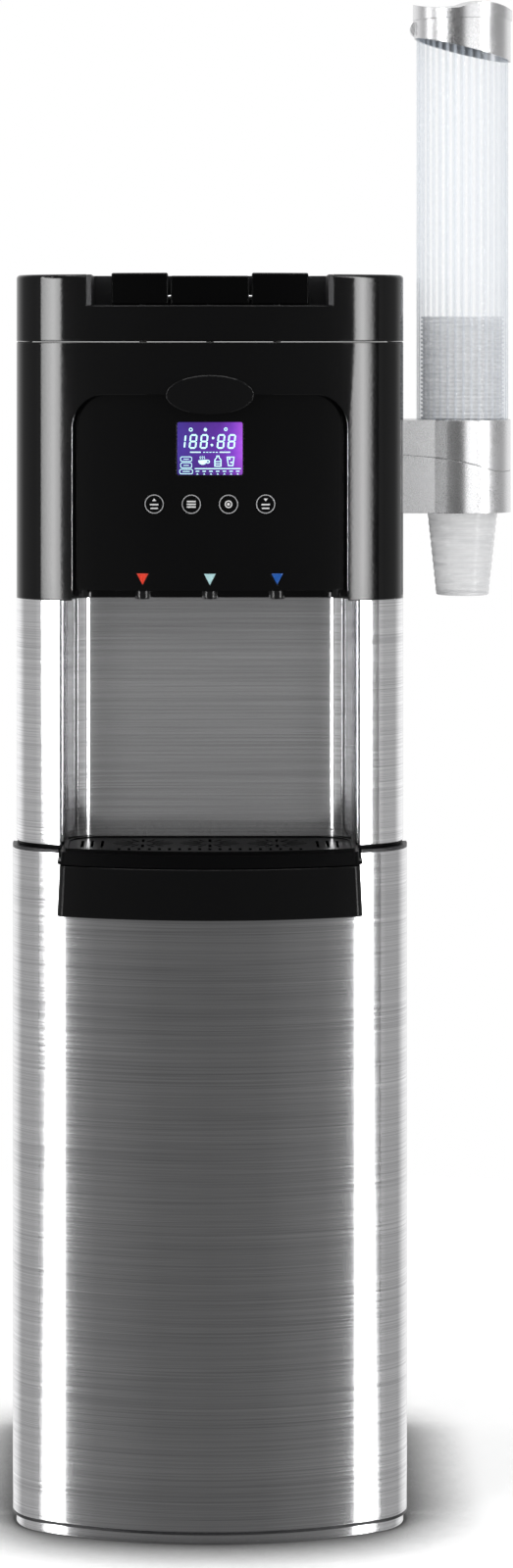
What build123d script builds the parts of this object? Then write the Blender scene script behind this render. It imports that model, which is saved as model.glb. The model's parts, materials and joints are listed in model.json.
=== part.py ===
"""Bottom load water cooler with a cup dispenser on its right side, in millimetres.

+X is the cooler's right as seen from the front, -Y its front, +Z up. The origin is on the floor,
under the middle of the cabinet. The lower front is a full width door with a bowed face that wraps
round both corners; behind it stands the water bottle. Above it are the drip tray, the tap niche,
the black head with the control panel, and three tap keys along the top front edge.
"""

import os
from math import atan2, cos, hypot, radians, sin, sqrt

from build123d import *

# ---------------------------------------------------------------- driving sizes
half_width = 160.0          # half of the door's width, the widest part of the cabinet
front_y = -180.0            # the middle of the door's bowed face
bow_rise = 46.23            # how far the bow has fallen back at the cabinet's half width
bow_radius = (half_width**2 + bow_rise**2) / (2 * bow_rise)   # plan radius of the bowed front
corner_radius = 42.0        # plan radius of the front corners
rear_y = 167.0              # outer face of the back panel
upper_inset = 3.0           # how far the parts above the door stand inside the door's face
clearance = 0.3             # gap between pieces that seat on or slide past each other
pin_clearance = 0.05        # radial gap of a pin in its hole

sheet = 1.0                 # steel sheet
plinth_height = 7.5
door_bottom = 8.0
door_top = 549.0            # top of the door's two upper corners
skin_top_margin = 2.5       # black strip left bare above the steel skin
door_thickness = 14.0
door_rear_y = -98.0
liner_wall = 2.5
handle_bottom = 501.0
handle_top = 541.0
handle_proud = 34.0         # how far the handle and tray stand out from the door
handle_bow_radius = 320.0
handle_wall = 3.0
handle_flare = 2.0          # how much wider the handle is on each side at its lower edge
hinge_in = 10.0              # hinge pins' axis from the door's side
hinge_x = half_width - hinge_in
hinge_y = -106.0
pin_radius = 3.0
pin_depth = 15.0

side_front_y = -92.5
side_flange = 12.0

deck_floor_z = 542.0        # underside of the tray's pocket
deck_floor = 3.0
deck_top = 552.5
deck_wall = 3.0
deck_plate = 3.0
tray_wall = 2.0
tray_rim_z = 555.0
grille_thickness = 2.0
grille_drop = 1.0           # grille's top below the tray's rim

pillar_width = 43.0          # of the steel each side of the niche
niche_half_width = half_width - pillar_width
handle_overlap = 2.0         # how far the handle reaches past the niche on each side
handle_half_width = niche_half_width + handle_overlap
niche_back_y = -110.0
niche_corner_radius = 33.0
head_bottom = 748.5
head_top = 955.5
head_wall = 3.0

panel_margin = 6.5           # the control panel is narrower than the niche on each side
panel_half_width = niche_half_width - panel_margin
panel_bottom = 757.0
panel_top = 913.6
panel_corner_radius = 27.0
panel_recess = 6.0          # control panel's face behind the head cover's face
panel_thickness = 3.0
badge_half_width = 35.0
badge_half_height = 15.6
badge_proud = 1.6
display_width = 52.0
display_height = 42.0
display_z = 870.8
window_thickness = 1.5
button_radius = 7.8
button_spacing = 29.6
button_z = 826.5
button_travel = 1.0
button_flange = 1.5
button_proud = 1.2
tap_spacing = 53.7
marker_width = 9.4
marker_height = 9.0
marker_top = 771.0
marker_proud = 0.4
marker_depth = 1.0

cover_bottom = 956.5
cover_top = 1010.0
cover_wall = 3.0
cover_edge = 3.0
notch_shoulder = 61.0        # of the top cover each side of the keys' notch
notch_half_width = half_width - notch_shoulder
notch_z = 984.8
notch_rear_y = -82.0
key_end_gap = 20.4           # from the notch's side to the outer keys
key_outer_x = notch_half_width - key_end_gap
key_inner_x = 32.3
key_gap = 2.4               # gap between neighbouring keys
key_bottom = 986.0
key_front_inset = 6.6
key_rear_y = -86.0
key_wall = 2.5
room_key_top = 1008.6
side_key_top = 1011.0
key_axle_y = -90.0
key_axle_z = 992.0
axle_radius = 2.5
key_frame_floor = 973.0
plunger_radius = 3.0
plunger_top = 981.8

tap_y = -146.0
tap_radius = 11.0
tap_top = 800.0
nozzle_radius = 6.5
nozzle_bottom = 749.5

cup_stand_off = 52.0         # axis of the cup tube, from the cabinet's side
cup_x = half_width + cup_stand_off
cup_y = -5.0
bracket_bottom = 813.5
bracket_top = 891.0
bracket_radius = 40.4
bracket_wall = 1.6
bracket_arm_half = 32.0
bracket_back = 2.5          # plate of the bracket that lies on the side panel
seam_left_z = 862.0
seam_crease_x = 188.0
seam_crease_z = 859.5
seam_right_z = 848.0
seam_gap = 0.4
cup_screw_reach = 11.0
tube_ledge_z = 868.0
tube_ledge = 3.0
tube_wall = 1.4
tube_flutes = 36
flute_depth = 0.6
tube_top = 1227.0
cap_wall = 1.6
cap_gap = 0.4
cap_left_drop = 15.5         # lower edge of the cap's skirt, below the tube's top
cap_right_drop = 36.5
cap_left_z = tube_top - cap_left_drop
cap_right_z = tube_top - cap_right_drop
cap_roof_rise = 2.0
cap_top = tube_top + cap_roof_rise
lid_overhang = 1.0
lid_edge = 3.5              # height of the lid's overhanging edge above the skirt
lid_slope = 0.10            # the lid's wave rises towards the rear
wave_left_rise = 10.5        # heights of the lid's wave above the skirt's top
wave_dip = (-22.0, 8.2)      # its points, from the tube's axis and the skirt's top
wave_turn = (-4.0, 9.2)
wave_peak = (22.0, 12.8)
wave_right_rise = 4.5
tab_radius = 7.0
tab_half = 6.0
cup_rim_radius = 35.0
cup_body_radius = 33.0
cup_base_radius = 22.0
cup_height = 104.0
cup_wall = 0.3
cup_base = 1.0
cup_rim_height = 1.6
cup_pitch = 3.5
cup_bottom = 744.0
cups_stacked = 37
finger_height = 2.0
finger_hold = 0.8           # how far the fingers reach under the cup's rim
finger_slots = 6

notch_gap = 2.0
door_ribs = 3
hinge_block = 20.0
handle_screw_x = 70.0
handle_screw_z = 527.0
handle_corner = 6.0
screw_seat = 1.2            # how far the curved liner lifts a screw's head
screw_head = 2.0
deck_edge = 2.0             # black edge of the deck, set back between the steel parts
deck_corner = 6.0
tray_post_spacing = 52.0
rosette_y = -152.0
rosette_radius = 24.0
rosette_hub = 8.0
rosette_slots = 16
slot_width = 2.4
slot_pitch = 8.0
front_slot_y = -188.0
front_slot_length = 12.0
front_slots = 19
side_slot_in = 23.0
side_slot_x = niche_half_width - side_slot_in
side_slot_y = -158.0
side_slot_length = 42.0
niche_wall = 2.0
niche_edge_radius = 2.5
ceiling_step = 3.0          # the recess stops this far in front of the niche's back
ceiling_corner = 24.0
badge_margin = 2.0
window_seat = 2.0
lcd_thickness = 5.0
lcd_margin = 5.0
stem_radius = 2.5
flange_grow = 1.6
flange_y = -162.6           # front of the buttons' flanges, behind the curved panel
guide_gap = 0.3             # left between a pressed button's flange and the guide plate
guide_thickness = 2.0
guide_half_width = 62.0
guide_half_height = 12.0
stem_stick_out = 1.2
switch_size = 6.0
switch_thickness = 2.0
board_thickness = 1.6
ceiling_thickness = 3.0
nozzle_bore = 3.5
tap_bore_depth = 16.0
tap_port_radius = 4.5
tap_port_z = 775.0
tap_port_y = -126.0
frame_wall = 4.0
ear_thickness = 3.0
ear_gap = 1.6
pad_radius = 4.0
pad_gap = 0.5
cold_side_gap = 85.0
cold_x = half_width - cold_side_gap
cold_radius = 56.0
cold_y = 30.0
cold_height = 160.0
tank_gap = 0.3
tank_wall = 1.2
tank_rounding = 6.0
barb_bore = 2.5
foam_wall = 16.0
foam_lid = 18.0
hot_side_gap = 80.0
hot_x = hot_side_gap - half_width
hot_radius = 40.0
hot_y = 30.0
hot_height = 145.0
hot_ring_height = 8.0
band_height = 30.0
band_thickness = 3.0
band_z = 580.0
pump_left = -30.0
pump_right = 14.0
pump_front = -82.0
pump_rear = -42.0
pump_height = 60.0
feed_z = 560.0
barb_radius = 4.0
block_half = 20.0
block_rear = 108.0
module_thickness = 4.0
sink_half = 46.0
sink_base = 4.0
sink_rear = 139.0
sink_fins = 12
fin_thickness = 1.6
fan_half = 46.0
fan_depth = 25.0
fan_bore = 42.0
fan_blade_radius = 40.5
fan_hub = 16.0
fan_shaft = 2.5
fan_blades = 7
box_side_gap = 45.0
box_left = box_side_gap - half_width
box_right = -45.0
box_front = 126.0
box_low = 585.0
box_high = 680.0
tank_feed_rise = 12.0
barb_length = 8.0
fan_strut = 4.0
blade_tilt = 35.0
pump_suction_x = -18.0
pump_mid_y = -62.0
inlet_bore = 5.0
inlet_flange = 2.0
probe_height = 470.0
probe_radius = 7.0
probe_cap_radius = 20.0
probe_cap_height = 28.0
rod_dome = 1.2
rod_room = 6.0              # how far a push rod can still go down in its tap
post_half = 2.0
key_rounding = 1.5
handle_screw_bite = 9.0
boss_half = 5.0
boss_length = 12.0
strike_z = 300.0
strike_height = 36.0
strike_thickness = 1.0
pin_floor = 2.0             # bottom of the lower hinge pin's hole
shelf_z = 536.0
shelf_flange = 12.0
shelf_front_y = -90.5
shelf_rear_y = 164.0
shelf_hole_radius = 30.0
bottle_radius = 135.0
bottle_y = 3.0
bottle_ring_height = 5.0
vent_pitch = 9.0
vent_width = 4.0
vent_length = 110.0
vent_rows = 11
low_vent_rows = 5
low_vent_z = 60.0
fan_x = cold_x
fan_z = 640.0
inlet_x = (box_left + box_right) / 2
inlet_z = 630.0
inlet_radius = 8.0
probe_side_gap = 32.0
probe_x = probe_side_gap - half_width
probe_y = 138.0
hose_radius = 4.5
hose_bore = 3.0
screw_radius = 2.0
cup_screw_y = 22.0
cup_screw_z = (830.0, 876.0)

# ---------------------------------------------------------------- derived places
bow_centre_y = front_y + bow_radius
corner_x = half_width - corner_radius
corner_y = bow_centre_y - sqrt((bow_radius - corner_radius) ** 2 - corner_x**2)
corner_angle = atan2(corner_x, bow_centre_y - corner_y)      # from -Y towards +X
upper_half = half_width - upper_inset
inner_half = upper_half - sheet
deck_rear_y = side_front_y
grille_bottom = tray_rim_z - grille_drop - grille_thickness
rear_inner_y = rear_y - sheet
handle_front_y = front_y - handle_proud
handle_bow_centre_y = handle_front_y + handle_bow_radius

os.makedirs("parts", exist_ok=True)


def save(built, name):
    """Labels a finished piece and writes it."""
    built.part.label = name
    export_step(built.part, f"parts/{name}.step")


def bow_y(x, inset=0.0):
    """Y of the bowed front, set in by inset, at x."""
    return bow_centre_y - sqrt((bow_radius - inset) ** 2 - x**2)


def plan_outline(inset, back_y):
    """The cabinet's plan: bowed front, round front corners, straight sides and back."""
    bow = bow_radius - inset
    corner = corner_radius - inset
    turn = Vector(sin(corner_angle), -cos(corner_angle))
    start = Vector(0, bow_centre_y) + turn * bow
    middle_angle = (corner_angle + radians(90)) / 2
    middle = Vector(corner_x, corner_y) + Vector(sin(middle_angle), -cos(middle_angle)) * corner
    side = Vector(half_width - inset, corner_y)
    with BuildSketch() as plan:
        with BuildLine():
            ThreePointArc((-start.X, start.Y), (0, front_y + inset), (start.X, start.Y))
            ThreePointArc((start.X, start.Y), (middle.X, middle.Y), (side.X, side.Y))
            Line((side.X, side.Y), (side.X, back_y))
            Line((side.X, back_y), (-side.X, back_y))
            Line((-side.X, back_y), (-side.X, side.Y))
            ThreePointArc((-side.X, side.Y), (-middle.X, middle.Y), (-start.X, start.Y))
        make_face()
    return plan.sketch


def plan_band(outer_inset, inner_inset, back_y):
    """The strip of plan between two insets, open at the back."""
    with BuildSketch() as band:
        add(plan_outline(outer_inset, back_y))
        add(plan_outline(inner_inset, back_y + 1), mode=Mode.SUBTRACT)
    return band.sketch


def tray_outline(half, inset, back_y, front_corner, rear_corner=0.0):
    """Plan of the handle and tray: a bowed front of its own, straight sides and back."""
    bow = handle_bow_radius - inset
    edge_y = handle_bow_centre_y - sqrt(bow**2 - half**2)
    with BuildSketch() as plan:
        with BuildLine():
            ThreePointArc((-half, edge_y), (0, handle_front_y + inset), (half, edge_y))
            Line((half, edge_y), (half, back_y))
            Line((half, back_y), (-half, back_y))
            Line((-half, back_y), (-half, edge_y))
        make_face()
        fillet(plan.vertices().sort_by(Axis.Y)[:2], front_corner)
        if rear_corner > 0:
            fillet(plan.vertices().sort_by(Axis.Y)[-2:], rear_corner)
    return plan.sketch


def plan_ring(outer_inset, inner_inset, low, high):
    """The wall between two insets, as a solid on the front half, not joined to anything."""
    band = Pos(0, 0, low) * plan_band(outer_inset, inner_inset, 0)
    return extrude(band, amount=high - low, mode=Mode.PRIVATE)


def seen_from_front(outline):
    """An outline drawn on the XZ plane, drawn out to the front, not joined to anything."""
    return extrude(outline, amount=-2 * front_y, mode=Mode.PRIVATE)


def badge_outline(margin):
    """The badge's oval, drawn in by margin, seen from the front."""
    with BuildSketch(Plane.XZ) as oval:
        with Locations((0, panel_top)):
            Ellipse(badge_half_width - margin, badge_half_height - margin)
    return oval.sketch


def box_between(low, high):
    """A box given by its two corners, not joined to anything."""
    size = [high[i] - low[i] for i in range(3)]
    centre = [(high[i] + low[i]) / 2 for i in range(3)]
    return Pos(*centre) * Box(*size, mode=Mode.PRIVATE)


def plan_solid(inset, low, high):
    """The whole plan between two heights, not joined to anything."""
    return extrude(
        Pos(0, 0, low) * plan_outline(inset, rear_y), amount=high - low, mode=Mode.PRIVATE
    )


def rod(radius, low_z, high_z, x, y):
    """An upright cylinder, not joined to anything."""
    return Pos(x, y, (low_z + high_z) / 2) * Cylinder(radius, high_z - low_z, mode=Mode.PRIVATE)


# ================================================================ cabinet
# Moulded plinth with a ring for the bottle; its flat underside stands on the floor.
with BuildPart() as base_pan:
    with BuildSketch():
        add(plan_outline(upper_inset, rear_inner_y - clearance))
    extrude(amount=plinth_height)
    with BuildSketch(Plane.XY.offset(plinth_height)):
        with Locations((0, bottle_y)):
            Circle(bottle_radius + 3)
            Circle(bottle_radius + 0.5, mode=Mode.SUBTRACT)
    extrude(amount=bottle_ring_height)
    add(rod(pin_radius, pin_floor, plinth_height, hinge_x, hinge_y), mode=Mode.SUBTRACT)
save(base_pan, "base_pan")

# Two folded steel sides: each is one sheet with a flange turned in at the front and the rear.
sides = []
for side in (-1, 1):
    with BuildPart() as side_panel:
        with BuildSketch(Plane.XY.offset(plinth_height)):
            with BuildLine():
                Polyline(
                    (side * upper_half, side_front_y),
                    (side * upper_half, rear_inner_y),
                    (side * (upper_half - side_flange), rear_inner_y),
                    (side * (upper_half - side_flange), rear_inner_y - sheet),
                    (side * inner_half, rear_inner_y - sheet),
                    (side * inner_half, side_front_y + sheet),
                    (side * (upper_half - side_flange), side_front_y + sheet),
                    (side * (upper_half - side_flange), side_front_y),
                    close=True,
                )
            make_face()
        extrude(amount=cover_bottom - clearance - plinth_height)
        if side > 0:
            with Locations(
                *[
                    (inner_half, cup_y + y, z)
                    for y in (-cup_screw_y, cup_screw_y)
                    for z in cup_screw_z
                ]
            ):
                Cylinder(screw_radius + 0.3, 8, rotation=(0, 90, 0), mode=Mode.SUBTRACT)
    sides.append(side_panel.part)

with BuildPart() as side_panels:
    add(sides)
save(side_panels, "side_panels")

with BuildPart() as back_panel:
    with BuildSketch(Plane.XZ.offset(-rear_inner_y)):
        with Locations((0, (plinth_height + cover_bottom - clearance) / 2)):
            Rectangle(2 * upper_half, cover_bottom - clearance - plinth_height)
        with Locations((fan_x, fan_z)):
            with GridLocations(0, vent_pitch, 1, vent_rows):
                SlotOverall(vent_length, vent_width, mode=Mode.SUBTRACT)
        with Locations((0, low_vent_z)):
            with GridLocations(0, vent_pitch, 1, low_vent_rows):
                SlotOverall(vent_length, vent_width, mode=Mode.SUBTRACT)
        with Locations((inlet_x, inlet_z)):
            Circle(inlet_radius, mode=Mode.SUBTRACT)
    extrude(amount=-sheet)
save(back_panel, "back_panel")

# Steel shelf between the bottle bay and the water works, with turned down edges.
with BuildPart() as shelf:
    with BuildSketch(Plane.XY.offset(shelf_z)):
        with Locations((0, (shelf_front_y + shelf_rear_y) / 2)):
            Rectangle(2 * (inner_half - clearance), shelf_rear_y - shelf_front_y)
        with Locations((0, bottle_y)):
            Circle(shelf_hole_radius, mode=Mode.SUBTRACT)
        with Locations((probe_x, probe_y)):
            Circle(hose_radius + clearance, mode=Mode.SUBTRACT)
    extrude(amount=sheet)
    with BuildSketch(Plane.XY.offset(shelf_z)):
        for side in (-1, 1):
            with Locations(
                (side * (inner_half - clearance - sheet / 2), (shelf_front_y + shelf_rear_y) / 2)
            ):
                Rectangle(sheet, shelf_rear_y - shelf_front_y)
    extrude(amount=-shelf_flange)
save(shelf, "shelf")

# ================================================================ door
handle_notch = handle_half_width + notch_gap       # half width of the notch in the door's top edge
skin_bottom = door_bottom + skin_top_margin
skin_top = door_top - skin_top_margin
door_notch_z = handle_top - clearance              # the tray's pocket passes over the door here

with BuildPart() as door_skin:
    with BuildSketch(Plane.XY.offset(skin_bottom)):
        add(plan_band(0, sheet, door_rear_y))
    extrude(amount=skin_top - skin_bottom)
    add(
        box_between((-handle_notch, front_y - 1, door_notch_z), (handle_notch, 0, door_top)),
        mode=Mode.SUBTRACT,
    )
    with Locations(*[(side * handle_screw_x, 0, handle_screw_z) for side in (-1, 1)]):
        Cylinder(
            screw_radius + clearance, -2 * front_y, rotation=(90, 0, 0), mode=Mode.SUBTRACT
        )
save(door_skin, "door_skin")

# Moulded liner: it backs the skin, closes the door's top, bottom and rear edges with a frame,
# and holds the two hinge blocks.
with BuildPart() as door_liner:
    with BuildSketch(Plane.XY.offset(door_bottom)):
        add(plan_band(sheet, sheet + liner_wall, door_rear_y))
    extrude(amount=door_top - door_bottom)
    for low, high in (
        (door_bottom, skin_bottom),
        (skin_top, door_top),
    ):
        with BuildSketch(Plane.XY.offset(low)):
            add(plan_band(0, door_thickness, door_rear_y))
        extrude(amount=high - low)
    for level in range(1, door_ribs + 1):
        with BuildSketch(
            Plane.XY.offset(door_bottom + level * (door_notch_z - door_bottom) / (door_ribs + 1))
        ):
            add(plan_band(sheet, door_thickness, door_rear_y))
        extrude(amount=liner_wall)
    with BuildSketch(Plane.XY.offset(door_notch_z - liner_wall)):
        add(plan_band(sheet, door_thickness, door_rear_y))
        Rectangle(2 * handle_notch + 2 * liner_wall, -3 * front_y, mode=Mode.INTERSECT)
    extrude(amount=liner_wall)
    for side in (-1, 1):
        add(
            box_between(
                (side * (half_width - sheet - 0.001) if side < 0 else half_width - door_thickness,
                 door_rear_y - liner_wall, door_bottom),
                (side * (half_width - door_thickness) if side < 0 else half_width - sheet - 0.001,
                 door_rear_y, door_top),
            )
        )
    for low in (door_bottom, door_top - hinge_block):
        with BuildSketch(Plane.XY.offset(low)):
            add(plan_band(sheet, door_thickness, door_rear_y))
            with Locations((half_width, hinge_y)):
                Rectangle(2 * door_thickness, 2 * (door_rear_y - hinge_y), mode=Mode.INTERSECT)
        extrude(amount=hinge_block)
    add(
        box_between((-handle_notch, front_y - 1, door_notch_z), (handle_notch, 0, door_top + 1)),
        mode=Mode.SUBTRACT,
    )
    for low in (door_bottom - 1, door_top - pin_depth - 1):
        add(
            rod(pin_radius + pin_clearance, low, low + pin_depth + 2, hinge_x, hinge_y),
            mode=Mode.SUBTRACT,
        )
    with Locations(*[(side * handle_screw_x, 0, handle_screw_z) for side in (-1, 1)]):
        Cylinder(
            screw_radius + clearance, -2 * front_y, rotation=(90, 0, 0), mode=Mode.SUBTRACT
        )
    add(
        box_between(
            (-half_width + sheet + 1, door_rear_y - strike_thickness, strike_z - strike_height / 2),
            (-half_width + door_thickness, door_rear_y + 1, strike_z + strike_height / 2),
        ),
        mode=Mode.SUBTRACT,
    )
save(door_liner, "door_liner")

# Scoop across the door's top: its hollow is open below for the fingers.
with BuildPart() as door_handle:
    for half, level in (
        (handle_half_width, handle_top),
        (handle_half_width + handle_flare, handle_bottom),
    ):
        with BuildSketch(Plane.XY.offset(level)):
            add(tray_outline(half, 0, corner_y, handle_corner))
    loft(ruled=True)
    with BuildSketch(Plane.XY.offset(handle_bottom)):
        add(
            tray_outline(
                handle_half_width - handle_wall, handle_wall, corner_y, handle_corner - handle_wall
            )
        )
    extrude(amount=handle_top - handle_wall - handle_bottom, mode=Mode.SUBTRACT)
    for side in (-1, 1):
        add(
            box_between(
                (side * handle_screw_x - boss_half, bow_y(handle_screw_x) - boss_length,
                 handle_screw_z - boss_half),
                (side * handle_screw_x + boss_half, corner_y, handle_top - 1),
            )
        )
    add(plan_solid(0, 0, door_top), mode=Mode.SUBTRACT)
    for side in (-1, 1):
        with Locations((side * handle_screw_x, bow_y(handle_screw_x), handle_screw_z)):
            Cylinder(
                screw_radius, 2 * handle_screw_bite, rotation=(90, 0, 0), mode=Mode.SUBTRACT
            )
save(door_handle, "door_handle")

# Screws that hold the handle, driven from inside the door.
with BuildPart() as handle_screws:
    liner_back_y = bow_y(handle_screw_x, sheet + liner_wall)
    for side in (-1, 1):
        with BuildSketch(Plane.XZ.offset(-(bow_y(handle_screw_x) - handle_screw_bite))):
            with Locations((side * handle_screw_x, handle_screw_z)):
                Circle(screw_radius)
        extrude(amount=-(liner_back_y + screw_seat - bow_y(handle_screw_x) + handle_screw_bite))
        with BuildSketch(Plane.XZ.offset(-(liner_back_y + screw_seat))):
            with Locations((side * handle_screw_x, handle_screw_z)):
                Circle(screw_radius * 2)
        extrude(amount=-screw_head)
save(handle_screws, "handle_screws")

with BuildPart() as door_strike:
    add(
        box_between(
            (-half_width + sheet + 1, door_rear_y - strike_thickness, strike_z - strike_height / 2),
            (-half_width + door_thickness, door_rear_y, strike_z + strike_height / 2),
        )
    )
save(door_strike, "door_strike")

# Magnet that holds the door shut, on the left side panel's front flange.
with BuildPart() as door_magnet:
    add(
        box_between(
            (-upper_half + 0.5, door_rear_y + clearance, strike_z - strike_height / 2),
            (-half_width + door_thickness, side_front_y, strike_z + strike_height / 2),
        )
    )
    chamfer(door_magnet.edges().filter_by(Axis.Z), 0.8)
save(door_magnet, "door_magnet")

# Pins the door turns on: one stands in the base pan, the other hangs from the tray's deck.
with BuildPart() as hinge_pins:
    add(rod(pin_radius, pin_floor, door_bottom + pin_depth - 1, hinge_x, hinge_y))
    add(rod(pin_radius, door_top - pin_depth + 1, deck_top - deck_plate, hinge_x, hinge_y))
    chamfer(hinge_pins.edges().group_by(Axis.Z)[1:3], 0.5)
save(hinge_pins, "hinge_pins")

# ================================================================ tray and niche
# Black deck over the door: a plate across the cabinet, with the tray's pocket hung in it.
deck_half = niche_half_width + 1.0
pocket_half = deck_half - deck_wall
pocket_rear_y = niche_back_y - deck_wall
with BuildPart() as deck:
    with BuildSketch(Plane.XY.offset(deck_top - deck_plate)):
        add(plan_outline(upper_inset + deck_edge, deck_rear_y))
    extrude(amount=deck_plate)
    with BuildSketch(Plane.XY.offset(deck_floor_z)):
        add(tray_outline(deck_half, 0, pocket_rear_y + deck_wall, deck_corner, niche_corner_radius))
    extrude(amount=deck_top - deck_floor_z)
    with BuildSketch(Plane.XY.offset(deck_floor_z)):
        add(tray_outline(handle_half_width + handle_flare, 1, bow_y(pocket_half), deck_corner))
        add(plan_outline(deck_edge, rear_y), mode=Mode.SUBTRACT)
    extrude(amount=deck_floor)
    with BuildSketch(Plane.XY.offset(deck_floor_z + deck_floor)):
        add(
            tray_outline(
                pocket_half, deck_wall, pocket_rear_y, deck_corner - 1,
                niche_corner_radius - deck_wall + 1,
            )
        )
    extrude(amount=deck_top - deck_floor_z, mode=Mode.SUBTRACT)
save(deck, "deck")

tray_half = pocket_half - clearance
tray_rear_y = pocket_rear_y - clearance
with BuildPart() as drip_tray:
    with BuildSketch(Plane.XY.offset(deck_floor_z + deck_floor)):
        add(
            tray_outline(
                tray_half, deck_wall + clearance, tray_rear_y, deck_corner - 1,
                niche_corner_radius - deck_wall + 1,
            )
        )
    extrude(amount=tray_rim_z - deck_floor_z - deck_floor)
    with BuildSketch(Plane.XY.offset(deck_floor_z + deck_floor + tray_wall)):
        add(
            tray_outline(
                tray_half - tray_wall, deck_wall + clearance + tray_wall, tray_rear_y - tray_wall,
                deck_corner - 2, niche_corner_radius - deck_wall + 1 - tray_wall,
            )
        )
    extrude(amount=tray_rim_z, mode=Mode.SUBTRACT)
    with BuildSketch(Plane.XY.offset(deck_floor_z + deck_floor + tray_wall)):
        with Locations((0, tap_y - 12)):
            with GridLocations(tray_post_spacing, tray_post_spacing / 2, 4, 2):
                Circle(2.5)
    extrude(amount=grille_bottom - deck_floor_z - deck_floor - tray_wall)
save(drip_tray, "drip_tray")

# Grille in the tray: a rosette of slots under each tap, straight slots around them.
grille_half = tray_half - tray_wall - clearance
with BuildPart() as drip_grille:
    with BuildSketch(Plane.XY.offset(grille_bottom)):
        add(
            tray_outline(
                grille_half, deck_wall + 2 * clearance + tray_wall,
                tray_rear_y - tray_wall - clearance,
                deck_corner - 2, niche_corner_radius - deck_wall + 1 - tray_wall,
            )
        )
        for column in (-1, 0, 1):
            with Locations((column * tap_spacing, rosette_y)):
                with PolarLocations((rosette_hub + rosette_radius) / 2, rosette_slots):
                    SlotOverall(rosette_radius - rosette_hub, slot_width, mode=Mode.SUBTRACT)
        with Locations((0, front_slot_y)):
            with GridLocations(slot_pitch, 0, front_slots, 1):
                SlotOverall(front_slot_length, slot_width, rotation=90, mode=Mode.SUBTRACT)
        for side in (-1, 1):
            with Locations((side * side_slot_x, side_slot_y)):
                with GridLocations(slot_pitch, 0, 3, 1):
                    SlotOverall(side_slot_length, slot_width, rotation=90, mode=Mode.SUBTRACT)
    extrude(amount=grille_thickness)
save(drip_grille, "drip_grille")


def niche_outline(extra):
    """Plan of the niche's air, grown by extra: straight sides, round rear corners."""
    with BuildSketch() as plan:
        half = niche_half_width + extra
        rear = niche_back_y + extra
        with Locations((0, (rear + 2 * front_y) / 2)):
            Rectangle(2 * half, rear - 2 * front_y)
        fillet(plan.vertices().sort_by(Axis.Y)[-2:], niche_corner_radius + extra)
    return plan.sketch


# Steel front between the deck and the head: two corner pillars and the niche, one folded sheet.
with BuildPart() as niche_panel:
    with BuildSketch(Plane.XY.offset(deck_top)) as niche_plan:
        add(niche_outline(niche_wall))
        add(plan_outline(upper_inset, rear_y), mode=Mode.INTERSECT)
        add(plan_band(upper_inset, upper_inset + niche_wall, side_front_y))
        add(niche_outline(0), mode=Mode.SUBTRACT)
        edge_y = bow_y(niche_half_width, upper_inset)
        fillet(
            niche_plan.vertices().filter_by(
                lambda corner: abs(abs(corner.X) - niche_half_width) < 0.1
                and abs(corner.Y - edge_y) < 0.1
            ),
            niche_edge_radius,
        )
    extrude(amount=head_bottom - deck_top)
save(niche_panel, "niche_panel")

# ================================================================ head


def arch(extra, low):
    """Outline of the control panel's opening, grown by extra, seen from the front."""
    with BuildSketch(Plane.XZ) as outline:
        half = panel_half_width + extra
        top = panel_top + extra
        with Locations((0, (low + top) / 2)):
            Rectangle(2 * half, top - low)
        fillet(outline.vertices().sort_by(Axis.Y)[-2:], panel_corner_radius + extra)
    return outline.sketch


def recess_outline(extra):
    """Plan of the recess over the niche that the tap nozzles hang in, grown by extra."""
    with BuildSketch() as plan:
        half = panel_half_width + extra
        rear = niche_back_y - ceiling_step + extra
        with Locations((0, (rear + 2 * front_y) / 2)):
            Rectangle(2 * half, rear - 2 * front_y)
        fillet(plan.vertices().sort_by(Axis.Y)[-2:], ceiling_corner + extra)
    return plan.sketch


panel_inset = upper_inset + panel_recess
panel_back = panel_inset + panel_thickness
with BuildPart() as head_cover:
    with BuildSketch(Plane.XY.offset(head_bottom)):
        add(plan_band(upper_inset, upper_inset + head_wall, side_front_y))
    extrude(amount=head_top - head_bottom)
    with BuildSketch(Plane.XY.offset(head_bottom)):
        add(plan_outline(upper_inset, side_front_y))
    extrude(amount=head_wall)
    with BuildSketch(Plane.XY.offset(head_bottom)):
        add(recess_outline(head_wall))
        add(plan_outline(panel_back + 1, side_front_y), mode=Mode.INTERSECT)
    extrude(amount=panel_bottom - head_bottom)
    add(
        seen_from_front(arch(head_wall, head_bottom))
        & plan_ring(upper_inset + head_wall / 2, panel_inset, head_bottom, head_top)
    )
    opening = seen_from_front(arch(0, head_bottom - 1)) & plan_ring(
        0, panel_inset + 1, head_bottom - 1, head_top
    )
    badge_seat = seen_from_front(badge_outline(badge_margin)) & plan_ring(
        0, upper_inset + head_wall, head_bottom, head_top
    )
    add(opening - badge_seat, mode=Mode.SUBTRACT)
    with BuildSketch(Plane.XY.offset(head_bottom)):
        add(recess_outline(0))
    extrude(amount=panel_bottom - head_bottom, mode=Mode.SUBTRACT)
save(head_cover, "head_cover")

with BuildPart() as badge:
    add(
        seen_from_front(badge_outline(0))
        & plan_ring(upper_inset - badge_proud, upper_inset, head_bottom, head_top)
    )
save(badge, "badge")


def window_outline(extra):
    """The display's window, grown by extra, seen from the front."""
    with BuildSketch(Plane.XZ) as outline:
        with Locations((0, display_z)):
            RectangleRounded(display_width + 2 * extra, display_height + 2 * extra, 1.5)
    return outline.sketch


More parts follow.
